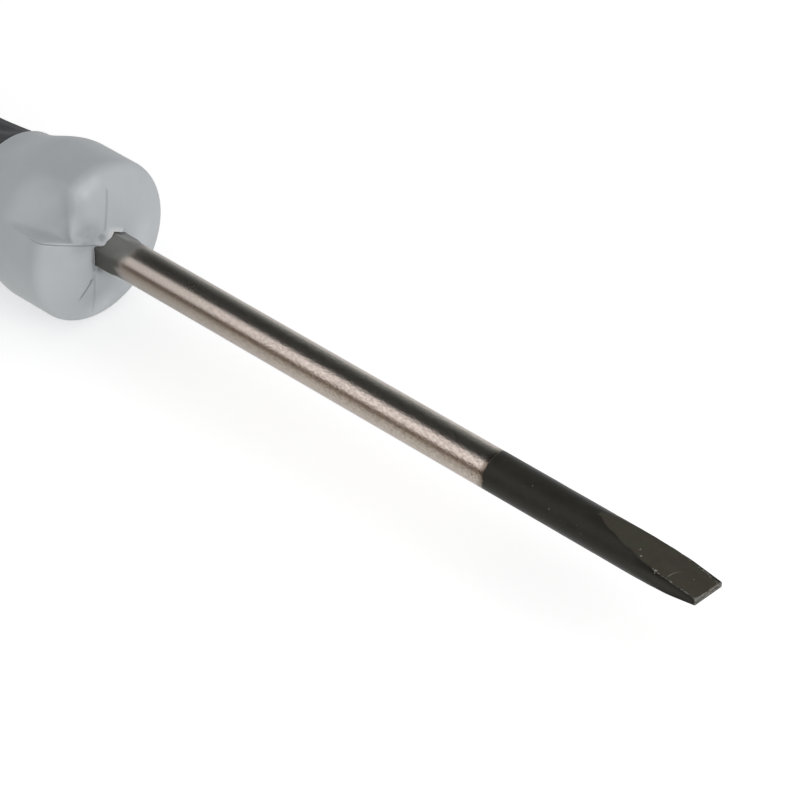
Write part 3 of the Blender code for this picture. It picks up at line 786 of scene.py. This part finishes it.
def build_core(material):
    front_start, front_end = seat("front_grip")
    main_start, main_end = seat("main_grip")
    ring_start = span("marker_ring")[0] - SEAT_GAP
    neck_end = span("marker_ring")[1] - SEAT_GAP
    boss_end = span("handle_core")[1]
    guard_end = BLADE_REACH + GUARD_LENGTH

    socket_flats = HEX_ACROSS_FLATS + 2 * SEAT_GAP
    rings = [shaped_ring(along, CORE_POINTS, lambda a: hex_radius(a, socket_flats))
             for along in (SHANK_END + SEAT_GAP, BLADE_REACH + MOUTH_DEPTH)]
    rings += nose_rings()

    outline = []
    for share in steps(0.0, 1.0, GUARD_STEPS)[1:]:
        radius = mix(NOSE_RADIUS, COLLAR_RADIUS, smooth_step(share))
        outline.append((radius, mix(guard_end, front_start - COLLAR_EDGE, share)))
    edge_start = front_start - COLLAR_EDGE
    outline += arc(COLLAR_RADIUS - COLLAR_EDGE, edge_start, COLLAR_EDGE, 0, 90, EDGE_POINTS)[1:]
    outline += [(FRONT_SEAT_RADIUS, front_start), (FRONT_SEAT_RADIUS, front_end)]
    outline += collar(COLLAR_RADIUS, front_end, main_start)
    outline += [(MAIN_SEAT_RADIUS, main_start), (MAIN_SEAT_RADIUS, main_end)]
    outline += collar(REAR_RADIUS, main_end, ring_start)
    outline += [(NECK_RADIUS, ring_start), (NECK_RADIUS, neck_end), (BOSS_RADIUS, neck_end),
                (BOSS_RADIUS, boss_end), (BORE_RADIUS, boss_end), (BORE_RADIUS, boss_end - BORE_DEPTH)]
    rings += turned_rings(outline, CORE_POINTS)
    values = {"pale": nose_sheen(rings)}
    fit_piece("handle_core", "handle", material, rings, values=values)


# Soft grips and marker ring


def end_round(distance):
    """How much a sleeve's radius falls away close to its end."""
    share = min(distance / GRIP_END_ROUND, 1.0)
    return GRIP_END_ROUND * (1 - sqrt(1 - (1 - share) ** 2))


def sleeve_stations(start, end, count):
    """Places along a sleeve, closer together over its rounded ends."""
    ends = [GRIP_END_ROUND * (1 - cos(a)) for a in steps(0.0, pi / 2, SLEEVE_END_STEPS)]
    middle = steps(start + 2 * GRIP_END_ROUND, end - 2 * GRIP_END_ROUND, count)
    return [start + d for d in ends] + middle + [end - d for d in reversed(ends)]


def fluted_ring(radius, depth, flutes, along):
    return shaped_ring(along, TURN_POINTS, lambda a: radius - depth * (0.5 - 0.5 * cos(flutes * a)))


def build_front_grip(material):
    start, end = span("front_grip")
    inner = FRONT_SEAT_RADIUS + SEAT_GAP
    rings = []
    for along in sleeve_stations(start, end, FRONT_STEPS):
        share = (along - start) / (end - start)
        edge = min(along - start, end - along)
        radius = COLLAR_RADIUS - COLLAR_EDGE - FRONT_WAIST * sin(pi * share) - end_round(edge)
        rings.append(fluted_ring(radius, FLUTE_DEPTH * smooth_step(edge / FLUTE_FADE), FLUTE_COUNT, along))
    rings += turned_rings([(inner, end), (inner, start)])
    fit_piece("front_grip", "handle", material, rings, hollow=True)


def rounded_hex_ring(apothem, corner, along):
    """A hexagon with rounded corners and two flats facing up and down; a circle at full rounding."""
    ring = []
    reach = (apothem - corner) / cos(radians(30))
    for k in range(6):
        middle = radians(30 + 60 * k)
        for i in range(HEX_CORNER_POINTS):
            angle = middle + radians(mix(-30, 30, (i + 0.5) / HEX_CORNER_POINTS))
            up = reach * cos(middle) + corner * cos(angle)
            side = reach * sin(middle) + corner * sin(angle)
            ring.append(place(along, up, side))
    return ring


def corner_groove(along, middle):
    """One in the middle of each of the grooves over the grip's corners, and zero between them."""
    place_in_row = (along - middle) / GROOVE_PITCH
    if abs(place_in_row) > GROOVE_COUNT / 2:
        return 0.0
    wave = sin(pi * (place_in_row + GROOVE_COUNT / 2))
    return smooth_step(wave * wave * GROOVE_GAIN - GROOVE_SHIFT)


def build_main_grip(material):
    start, end = span("main_grip")
    inner = MAIN_SEAT_RADIUS + SEAT_GAP
    grooves_middle = (start + GRIP_RISE + end - GRIP_FALL) / 2
    rings = []
    for along in sleeve_stations(start, end, MAIN_STEPS):
        edge = min(along - start, end - along)
        weight = smooth_step(min((along - start) / GRIP_RISE, (end - along) / GRIP_FALL))
        round_radius = mix(COLLAR_RADIUS, REAR_RADIUS, (along - start) / (end - start)) - COLLAR_EDGE
        apothem = mix(round_radius, half_height("main_grip"), weight) - end_round(edge)
        corner = mix(apothem, GRIP_CORNER_RADIUS, weight)
        corner = min(corner + GROOVE_ROUNDING * corner_groove(along, grooves_middle), apothem)
        rings.append(rounded_hex_ring(apothem, corner, along))
    rings += [rounded_hex_ring(inner, inner, end), rounded_hex_ring(inner, inner, start)]
    fit_piece("main_grip", "handle", material, rings, hollow=True)


def build_marker_ring(material):
    start, end = span("marker_ring")
    inner = NECK_RADIUS + SEAT_GAP
    outline = collar(REAR_RADIUS, start, end) + [(inner, end), (inner, start)]
    rings = turned_rings(outline)
    fit_piece("marker_ring", "handle", material, rings, hollow=True)


# Swivel cap


def build_cap_shell(material):
    start, end = span("cap_shell")
    radius = half_height("cap_shell")
    pad_radius = half_height("cap_pad") + SEAT_GAP
    pad_floor = span("cap_pad")[0] - SEAT_GAP
    web_floor = span("outer_race")[1] + SEAT_GAP
    edge_along = end - CAP_EDGE
    foot = arc(REAR_RADIUS - CAP_FOOT_EDGE, start + CAP_FOOT_EDGE, CAP_FOOT_EDGE, -90, 0, EDGE_POINTS)
    rings = turned_rings(foot)
    for share in steps(0.0, 1.0, CAP_STEPS)[1:]:
        outer = mix(REAR_RADIUS, radius, smooth_step(share))
        depth = CAP_FLUTE_DEPTH * sin(pi * share)
        along = mix(start + CAP_FOOT_EDGE, edge_along, share)
        rings.append(fluted_ring(outer, depth, CAP_FLUTE_COUNT, along))
    inside = arc(radius - CAP_EDGE, edge_along, CAP_EDGE, 0, 90, CAP_EDGE_POINTS)[1:]
    inside += [(pad_radius, end), (pad_radius, pad_floor), (CAP_WEB_HOLE, pad_floor),
               (CAP_WEB_HOLE, web_floor), (CAP_BORE_RADIUS, web_floor), (CAP_BORE_RADIUS, start)]
    rings += turned_rings(inside)
    fit_piece("cap_shell", "cap", material, rings, hollow=True)


def build_cap_pad(material):
    start, end = span("cap_pad")
    outer = half_height("cap_pad")
    rim = outer - PAD_RIM
    dish_radius = (rim * rim + PAD_DISH * PAD_DISH) / (2 * PAD_DISH)
    dish_start = degrees(asin(rim / dish_radius)) - 90
    edge = COLLAR_EDGE
    outline = [(outer, start)] + arc(outer - edge, end - edge, edge, 0, 90, PAD_EDGE_POINTS)
    outline += arc(0.0, end - PAD_DISH + dish_radius, dish_radius, dish_start, PAD_DISH_END, PAD_DISH_POINTS)
    rings = turned_rings(outline)
    fit_piece("cap_pad", "cap", material, rings)


# Materials


def new_material(name):
    material = bpy.data.materials.new(name)
    material.use_nodes = True
    return material, material.node_tree, material.node_tree.nodes["Principled BSDF"]


def feed(tree, node, inputs):
    """Sets or links the inputs of a node."""
    for key, value in inputs.items():
        if isinstance(value, bpy.types.NodeSocket):
            tree.links.new(value, node.inputs[key])
        else:
            node.inputs[key].default_value = value


def add(tree, kind, inputs, output=0, **settings):
    """Adds a node, feeds its inputs, and gives back one of its outputs."""
    node = tree.nodes.new(kind)
    for key, value in settings.items():
        setattr(node, key, value)
    feed(tree, node, inputs)
    return node.outputs[output]


def object_place(tree):
    return add(tree, "ShaderNodeTexCoord", {}, output="Object")


def calc(tree, operation, first, second=0.0, third=0.0):
    return add(tree, "ShaderNodeMath", {0: first, 1: second, 2: third}, operation=operation)


def times(tree, first, second):
    return calc(tree, "MULTIPLY", first, second)


def noise(tree, vector, size, detail=3.0, roughness=0.55):
    """Noise whose lumps are about that size."""
    return add(tree, "ShaderNodeTexNoise",
               {"Vector": vector, "Scale": 1 / size, "Detail": detail, "Roughness": roughness})


def remap(tree, value, low, high, new_low=0.0, new_high=1.0):
    """Smoothly carries low to high over to the new range."""
    return add(tree, "ShaderNodeMapRange", {0: value, 1: low, 2: high, 3: new_low, 4: new_high},
               interpolation_type="SMOOTHSTEP")


def spread(tree, value, low=0.0, high=1.0):
    """Carries the usual range of a noise over to the new range."""
    return remap(tree, value, *NOISE_RANGE, low, high)


def blend_colour(tree, factor, first, second):
    return add(tree, "ShaderNodeMix", {0: factor, 6: first, 7: second}, output=2, data_type="RGBA")


def blend_value(tree, factor, first, second):
    return add(tree, "ShaderNodeMix", {0: factor, 2: first, 3: second}, output=0, data_type="FLOAT")


def stretch(tree, vector, scale):
    return add(tree, "ShaderNodeVectorMath", {0: vector, 1: scale}, operation="MULTIPLY")


def bump(tree, height, distance, strength=1.0, normal=None):
    inputs = {"Height": height, "Distance": distance, "Strength": strength}
    if normal:
        inputs["Normal"] = normal
    return add(tree, "ShaderNodeBump", inputs)


def rgb(red, green, blue):
    return red, green, blue, 1.0


def two_tones(tree, factor, tones):
    return blend_colour(tree, factor, rgb(*tones[0]), rgb(*tones[1]))


def apart(tree, first, second):
    return add(tree, "ShaderNodeVectorMath", {0: first, 1: second}, output="Value", operation="DISTANCE")


def mesh_value(tree, name, output="Fac"):
    """A value that the mesh carries at its points."""
    return add(tree, "ShaderNodeAttribute", {}, output=output, attribute_name=name)


def tool_place(tree, where):
    """Distance from the tip, height over the axis and distance to the side of it."""
    parts = tree.nodes.new("ShaderNodeSeparateXYZ")
    tree.links.new(where, parts.inputs[0])
    along = calc(tree, "SUBTRACT", TIP_X, parts.outputs["X"])
    up = calc(tree, "SUBTRACT", parts.outputs["Z"], AXIS_Z)
    return along, up, parts.outputs["Y"]


def chip_mask(tree, along, side):
    """One where the black finish has small chips or is scratched."""
    flat_place = add(tree, "ShaderNodeCombineXYZ", {0: along, 1: side})
    ragged = noise(tree, flat_place, CHIP_RAGGED)
    away = apart(tree, flat_place, SCRATCH_CENTRE)
    off_line = calc(tree, "ABSOLUTE", calc(tree, "SUBTRACT", away, SCRATCH_RADIUS))
    uneven = times(tree, off_line, ragged)
    line = remap(tree, uneven, SCRATCH_EDGE[0] * SCRATCH_WIDTH, SCRATCH_EDGE[1] * SCRATCH_WIDTH, 1.0, 0.0)
    begun = remap(tree, side, SCRATCH_SIDES[0], SCRATCH_SIDES[0] + SCRATCH_BEGIN)
    ended = remap(tree, side, SCRATCH_SIDES[0] + SCRATCH_FADE, SCRATCH_SIDES[1], SCRATCH_STRENGTH, 0.0)
    before = calc(tree, "LESS_THAN", along, 2 * SCRATCH_RADIUS)
    marks = times(tree, times(tree, line, before), times(tree, begun, ended))
    for chip_along, chip_side, size in CHIPS:
        away = apart(tree, flat_place, (chip_along, chip_side, 0.0))
        uneven = calc(tree, "MULTIPLY_ADD", ragged, CHIP_UNEVEN * size, away)
        near = remap(tree, uneven, CHIP_EDGE[0] * size, CHIP_EDGE[1] * size, 1.0, 0.0)
        marks = calc(tree, "MAXIMUM", marks, near)
    return marks


def blade_finish():
    """Warm bright plating, with painted shade towards the handle; dull on the hexagon, with painted light
    towards its top; and a black tip whose finish ends in an uneven line.
    """
    material, tree, shader = new_material("blade_finish")
    where = object_place(tree)
    along, up, side = tool_place(tree, where)
    lean = times(tree, calc(tree, "SUBTRACT", up, side), BLACK_TILT)
    ragged = spread(tree, noise(tree, where, RAGGED_SIZE), -RAGGED_REACH, RAGGED_REACH)
    depth = calc(tree, "ADD", calc(tree, "ADD", along, lean), ragged)
    black = remap(tree, depth, BLACK_LENGTH - BLACK_EDGE, BLACK_LENGTH + BLACK_EDGE, 1.0, 0.0)
    tint = remap(tree, depth, BLACK_LENGTH, BLACK_LENGTH + TINT_REACH, TINT_SHARE, 0.0)

    fine = noise(tree, stretch(tree, where, FINE_STRETCH), FINE_SIZE, *GRAIN_DETAIL)
    cloud = noise(tree, stretch(tree, where, CLOUD_STRETCH), CLOUD_SIZE)
    duller = two_tones(tree, cloud, DULL_PLATING)
    brighter = two_tones(tree, cloud, BRIGHT_PLATING)
    plating = blend_colour(tree, spread(tree, fine), duller, brighter)
    # Painted shade: the plating darkens towards the nose
    nose_shade = remap(tree, along, NOSE_SHADE_START, BLADE_REACH, 0.0, NOSE_SHADE_SHARE)
    plating = blend_colour(tree, nose_shade, plating, rgb(*NOSE_SHADED_PLATING))
    close = remap(tree, depth, BLACK_LENGTH, BLACK_LENGTH + PIT_REACH, 1.0, 0.0)
    pits = remap(tree, noise(tree, where, PIT_SIZE), *PIT_RANGE)
    pitted = times(tree, close, times(tree, pits, PIT_SHARE))
    plating = blend_colour(tree, calc(tree, "MAXIMUM", tint, pitted), plating, rgb(*TINTED_PLATING))
    above = calc(tree, "MAXIMUM", times(tree, up, DULL_LEAN_ABOVE), 0.0)
    below = calc(tree, "MAXIMUM", times(tree, up, DULL_LEAN_BELOW), 0.0)
    formed = calc(tree, "ADD", calc(tree, "ADD", along, ragged), calc(tree, "ADD", above, below))
    dull = remap(tree, formed, HEX_START + DULL_EDGE[0], HEX_START + DULL_EDGE[1])
    # Painted light: the dull hexagon is lighter towards its top
    dull_hex_lit_on_top = two_tones(tree, remap(tree, up, *HEX_LIGHT), HEX_TONES)
    plating = blend_colour(tree, dull, plating, dull_hex_lit_on_top)

    oxide_cloud = noise(tree, where, OXIDE_SIZE, *OXIDE_DETAIL)
    oxide = two_tones(tree, oxide_cloud, OXIDE_TONES)
    patch = remap(tree, noise(tree, where, PATCH_SIZE), *PATCH_RANGE)
    # Ground flats: their own finish, partly painted light that makes them lighter
    ground_and_lit_dark = two_tones(tree, patch, GROUND_AND_LIT_DARK)
    ground_and_lit_light = two_tones(tree, patch, GROUND_AND_LIT_LIGHT)
    ground = blend_colour(tree, oxide_cloud, ground_and_lit_dark, ground_and_lit_light)
    oxide = blend_colour(tree, mesh_value(tree, "shade"), oxide, rgb(*SHADE_TONE))
    oxide = blend_colour(tree, mesh_value(tree, "flat"), oxide, ground)
    specks = remap(tree, noise(tree, where, SPECK_SIZE, SPECK_DETAIL), *SPECK_RANGE)
    rub = noise(tree, where, RUB_SIZE, *RUB_DETAIL)
    rubbed = remap(tree, times(tree, mesh_value(tree, "wear"), rub), *RUB_RANGE)
    upper = calc(tree, "GREATER_THAN", up, 0.0)
    chips = times(tree, chip_mask(tree, along, side), upper)
    bare = calc(tree, "MAXIMUM", calc(tree, "MAXIMUM", specks, rubbed), chips)
    oxide = blend_colour(tree, bare, oxide, rgb(*BARE_TONE))
    oxide = blend_colour(tree, chips, oxide, rgb(*CHIP_TONE))

    metal = calc(tree, "SUBTRACT", 1.0, times(tree, dull, HEX_METAL_LOSS))
    calm = remap(tree, along, CALM_START, HEX_START - CALM_MARGIN)
    plating_rough = spread(tree, fine, *PLATING_ROUGHNESS)
    plating_rough = blend_value(tree, calm, plating_rough, CALM_ROUGHNESS)
    plating_rough = blend_value(tree, dull, plating_rough, HEX_ROUGHNESS)
    oxide_rough = spread(tree, oxide_cloud, *OXIDE_ROUGHNESS)
    grain = blend_value(tree, calm, 1.0, CALM_GRAIN / PLATING_GRAIN)
    grain = blend_value(tree, black, grain, OXIDE_GRAIN / PLATING_GRAIN)
    feed(tree, shader, {
        "Base Color": blend_colour(tree, black, plating, oxide),
        "Metallic": blend_value(tree, black, metal, 0.0),
        "Roughness": blend_value(tree, black, plating_rough, oxide_rough),
        "Specular IOR Level": 0.15,
        "Sheen Weight": 0.20,
        "Sheen Roughness": 0.35,
        "Normal": bump(tree, times(tree, fine, grain), PLATING_GRAIN),
    })
    return material


def seam_mask(tree, up, side, seam):
    """One on a seam's line and zero away from it."""
    start, direction, length = seam_frame(seam)
    _, width = seam[2:]
    from_up = calc(tree, "SUBTRACT", up, start.x)
    from_side = calc(tree, "SUBTRACT", side, start.y)
    run = calc(tree, "ADD", times(tree, from_up, direction.x), times(tree, from_side, direction.y))
    across = calc(tree, "SUBTRACT", times(tree, from_up, direction.y), times(tree, from_side, direction.x))
    line = remap(tree, calc(tree, "ABSOLUTE", across), SEAM_EDGE[0] * width, SEAM_EDGE[1] * width, 1.0, 0.0)
    begun = remap(tree, run, -width, width)
    ended = remap(tree, run, length + SEAM_END[0], length + SEAM_END[1], 1.0, 0.0)
    return times(tree, line, times(tree, begun, ended))


def grey_plastic(name, seams=()):
    """Satin moulded plastic, a little cloudy, with dust in its seams. On the nose it has a pale lip that is
    partly painted highlight, and spots of painted shade and painted highlight.
    """
    material, tree, shader = new_material(name)
    where = object_place(tree)
    colour = two_tones(tree, noise(tree, where, GREY_CLOUD, CLOUD_DETAIL), GREY_TONES)
    if seams:
        along, up, side = tool_place(tree, where)
        front = remap(tree, along, BLADE_REACH + DUST_FADE[0], BLADE_REACH + DUST_FADE[1], 1.0, 0.0)
        for seam in seams:
            dust = times(tree, seam_mask(tree, up, side, seam), front)
            share = times(tree, dust, min(DUST_MOST, seam[2] / DUST_DEPTH))
            colour = blend_colour(tree, share, colour, rgb(*DUST_TONE))
        # Pale top of the lip: partly whiter flash, partly painted highlight
        pale = remap(tree, mesh_value(tree, "pale"), *PALE_RANGE)
        colour = blend_colour(tree, pale, colour, rgb(*PALE_TONE))
        # Spots of painted shade and painted highlight on the nose, broken into patches
        patchy = remap(tree, noise(tree, where, PAINTED_SPOT_SIZE, CLOUD_DETAIL), *PAINTED_SPOT_PATCHES)
        for spot, reach, strength, brightness in PAINTED_SHADE_AND_HIGHLIGHTS:
            painted_spot = remap(tree, apart(tree, where, place(*spot)), 0.0, reach, strength, 0.0)
            tone = [brightness * part for part in PAINTED_SPOT_TONE]
            colour = blend_colour(tree, times(tree, painted_spot, patchy), colour, rgb(*tone))
    pores = noise(tree, where, GREY_PORE, *GRAIN_DETAIL)
    feed(tree, shader, {
        "Base Color": colour,
        "Roughness": spread(tree, pores, *GREY_ROUGHNESS),
        "Specular IOR Level": 0.40,
        "Sheen Weight": 0.10,
        "Sheen Roughness": 0.35,
        "Normal": bump(tree, pores, *GREY_BUMP),
    })
    return material


def soft_grip(name):
    """Charcoal rubber with a fine moulded stipple."""
    material, tree, shader = new_material(name)
    where = object_place(tree)
    colour = two_tones(tree, noise(tree, where, RUBBER_CLOUD, CLOUD_DETAIL), RUBBER_TONES)
    stipple = add(tree, "ShaderNodeTexVoronoi", {"Vector": where, "Scale": 1 / STIPPLE_SIZE})
    pores = noise(tree, where, RUBBER_PORE)
    feed(tree, shader, {
        "Base Color": colour,
        "Roughness": spread(tree, pores, *RUBBER_ROUGHNESS),
        "Specular IOR Level": 0.35,
        "Sheen Weight": 0.08,
        "Normal": bump(tree, pores, *RUBBER_BUMP, bump(tree, stipple, *STIPPLE_BUMP)),
    })
    return material


def small_finish(slot):
    """Plain moulded plastic, or turned metal whose fine marks run round the axis of the tool."""
    material, tree, shader = new_material(slot)
    metal = slot in METALS
    cloud, tones, pore, roughness = METALS[slot] if metal else PLASTICS[slot]
    where = object_place(tree)
    pores = noise(tree, stretch(tree, where, TURNED_STRETCH) if metal else where, pore)
    feed(tree, shader, {
        "Base Color": two_tones(tree, noise(tree, where, cloud, CLOUD_DETAIL), tones),
        "Metallic": 1.0 if metal else 0.0,
        "Roughness": spread(tree, pores, *roughness),
        "Normal": bump(tree, pores, *(METAL_BUMP if metal else PLASTIC_BUMP)),
    })
    return material


def dress_inner_nodes():
    """The bearing and pivot pieces keep their solids and get the finish of their slot."""
    finishes = {slot: small_finish(slot) for slot in (*METALS, "cage_plastic")}
    for part in frame["record"]["subparts"]:
        if part["material_slot"] in finishes:
            node = frame["nodes"][part["node"]]
            node.data.materials.clear()
            node.data.materials.append(finishes[part["material_slot"]])


# Studio and camera


def seen_directly(tree):
    """One for camera, glossy and transmission rays, and zero for the rays that light the object."""
    rays = tree.nodes.new("ShaderNodeLightPath")
    shiny = calc(tree, "MAXIMUM", rays.outputs["Is Glossy Ray"], rays.outputs["Is Transmission Ray"])
    return calc(tree, "MAXIMUM", rays.outputs["Is Camera Ray"], shiny)


def build_world():
    world = bpy.data.worlds.new("studio")
    bpy.context.scene.world = world
    world.use_nodes = True
    tree = world.node_tree
    strength = blend_value(tree, seen_directly(tree), AMBIENT, 1.0)
    feed(tree, tree.nodes["Background"], {"Color": rgb(1.0, 1.0, 1.0), "Strength": strength})


def build_floor():
    mesh = bpy.data.meshes.new("floor")
    signs = ((-1, -1), (1, -1), (1, 1), (-1, 1))
    corners = [(x * FLOOR_HALF, y * FLOOR_HALF, -FLOOR_DROP) for x, y in signs]
    mesh.from_pydata(corners, [], [(0, 1, 2, 3)])
    floor = add_object("floor", mesh)
    material, tree, shader = new_material("floor_paper")
    rays = tree.nodes.new("ShaderNodeLightPath")
    glow = blend_value(tree, seen_directly(tree), FLOOR_LIGHT, FLOOR_MIRRORED)
    glow = blend_value(tree, rays.outputs["Is Camera Ray"], glow, FLOOR_SEEN)
    feed(tree, shader, {
        "Base Color": rgb(*FLOOR_TONE),
        "Roughness": FLOOR_ROUGHNESS,
        "Specular IOR Level": 0.0,
        "Emission Color": rgb(1.0, 1.0, 1.0),
        "Emission Strength": glow,
    })
    mesh.materials.append(material)


def build_screen(name, path):
    """A glowing screen drawn along X over a path of (y, z, colour) points.

    Only reflections see it, so that the plating has something dark to mirror.
    """
    vertices = []
    colours = []
    for x in SCREEN_ENDS:
        for y, z, colour in path:
            vertices.append((x, y, z))
            colours += rgb(*colour)
    count = len(path)
    faces = [(i, i + 1, count + i + 1, count + i) for i in range(count - 1)]
    mesh = bpy.data.meshes.new(name)
    mesh.from_pydata(vertices, [], faces)
    mesh.attributes.new("glow", "FLOAT_COLOR", "POINT").data.foreach_set("color", colours)
    screen = add_object(name, mesh)
    for rays in ("camera", "diffuse", "shadow", "transmission"):
        setattr(screen, "visible_" + rays, False)
    material, tree, shader = new_material(name)
    feed(tree, shader, {
        "Base Color": rgb(0.0, 0.0, 0.0),
        "Specular IOR Level": 0.0,
        "Emission Color": mesh_value(tree, "glow", "Color"),
        "Emission Strength": 1.0,
    })
    mesh.materials.append(material)


def screen_place(angle):
    """Place (y, z) on the round screen, by its angle from the top in degrees."""
    up, side = polar(SCREEN_RADIUS, radians(angle))
    return -side, AXIS_Z + up


def build_screens():
    """A dark sheet from the far side over the top, and a brown mat in front of the tool."""
    sheet = []
    for angle in steps(*SHEET_ANGLES, SHEET_POINTS):
        fall = (SHEET_FALL_START - cos(radians(angle))) / SHEET_FALL_RUN
        glow = SHEET_DARK + SHEET_RISE * min(max(fall, 0.0), 1.0) ** SHEET_FALL_POWER
        sheet.append((*screen_place(angle), [glow * part for part in SHEET_TONE]))
    build_screen("dark_sheet", sheet)
    far_tone = MAT_TONES[0][1]
    mat = [(*screen_place(MAT_ANGLE), far_tone), (-SCREEN_RADIUS, MAT_LIFT, far_tone)]
    mat += [(-distance, MAT_LIFT, tone) for distance, tone in MAT_TONES]
    build_screen("brown_mat", mat)


def build_lamp():
    """A square softbox that looks at the front of the handle."""
    light = bpy.data.lights.new("key", "AREA")
    light.size = KEY_SIZE
    light.energy = KEY_POWER
    lamp = add_object("key", light)
    direction = Vector(KEY_DIRECTION).normalized()
    lamp.location = Vector(place(BLADE_REACH, 0.0, 0.0)) + KEY_DISTANCE * direction
    lamp.rotation_euler = direction.to_track_quat("Z", "Y").to_euler()


def build_camera():
    back = Vector((sin(VIEW_AZIMUTH) * cos(VIEW_ELEVATION),
                   -cos(VIEW_AZIMUTH) * cos(VIEW_ELEVATION),
                   sin(VIEW_ELEVATION)))
    level = Vector((cos(VIEW_AZIMUTH), sin(VIEW_AZIMUTH), 0.0))
    upright = back.cross(level)
    right = cos(VIEW_ROLL) * level + sin(VIEW_ROLL) * upright
    up = cos(VIEW_ROLL) * upright - sin(VIEW_ROLL) * level
    aim = Vector(place(AIM_FROM_TIP, 0.0, 0.0)) + AIM_RIGHT * right + AIM_UP * up
    data = bpy.data.cameras.new("camera")
    data.lens = LENS
    data.sensor_width = SENSOR_WIDTH
    data.clip_start = CLIP_START
    camera = add_object("camera", data)
    turn = Matrix((right, up, back)).transposed().to_4x4()
    camera.matrix_world = Matrix.Translation(aim + VIEW_DISTANCE * back) @ turn
    bpy.context.scene.camera = camera


def build_studio():
    bpy.context.scene.view_settings.view_transform = "Standard"
    build_world()
    build_floor()
    build_screens()
    build_lamp()
    build_camera()


def build_object():
    build_blade(blade_finish())
    build_core(grey_plastic("grey_plastic", SEAMS))
    rubber = soft_grip("soft_grip")
    build_front_grip(rubber)
    build_main_grip(rubber)
    build_marker_ring(small_finish("ring_plastic"))
    build_cap_shell(grey_plastic("cap_plastic"))
    build_cap_pad(soft_grip("pad_rubber"))
    dress_inner_nodes()


build_studio()
build_object()
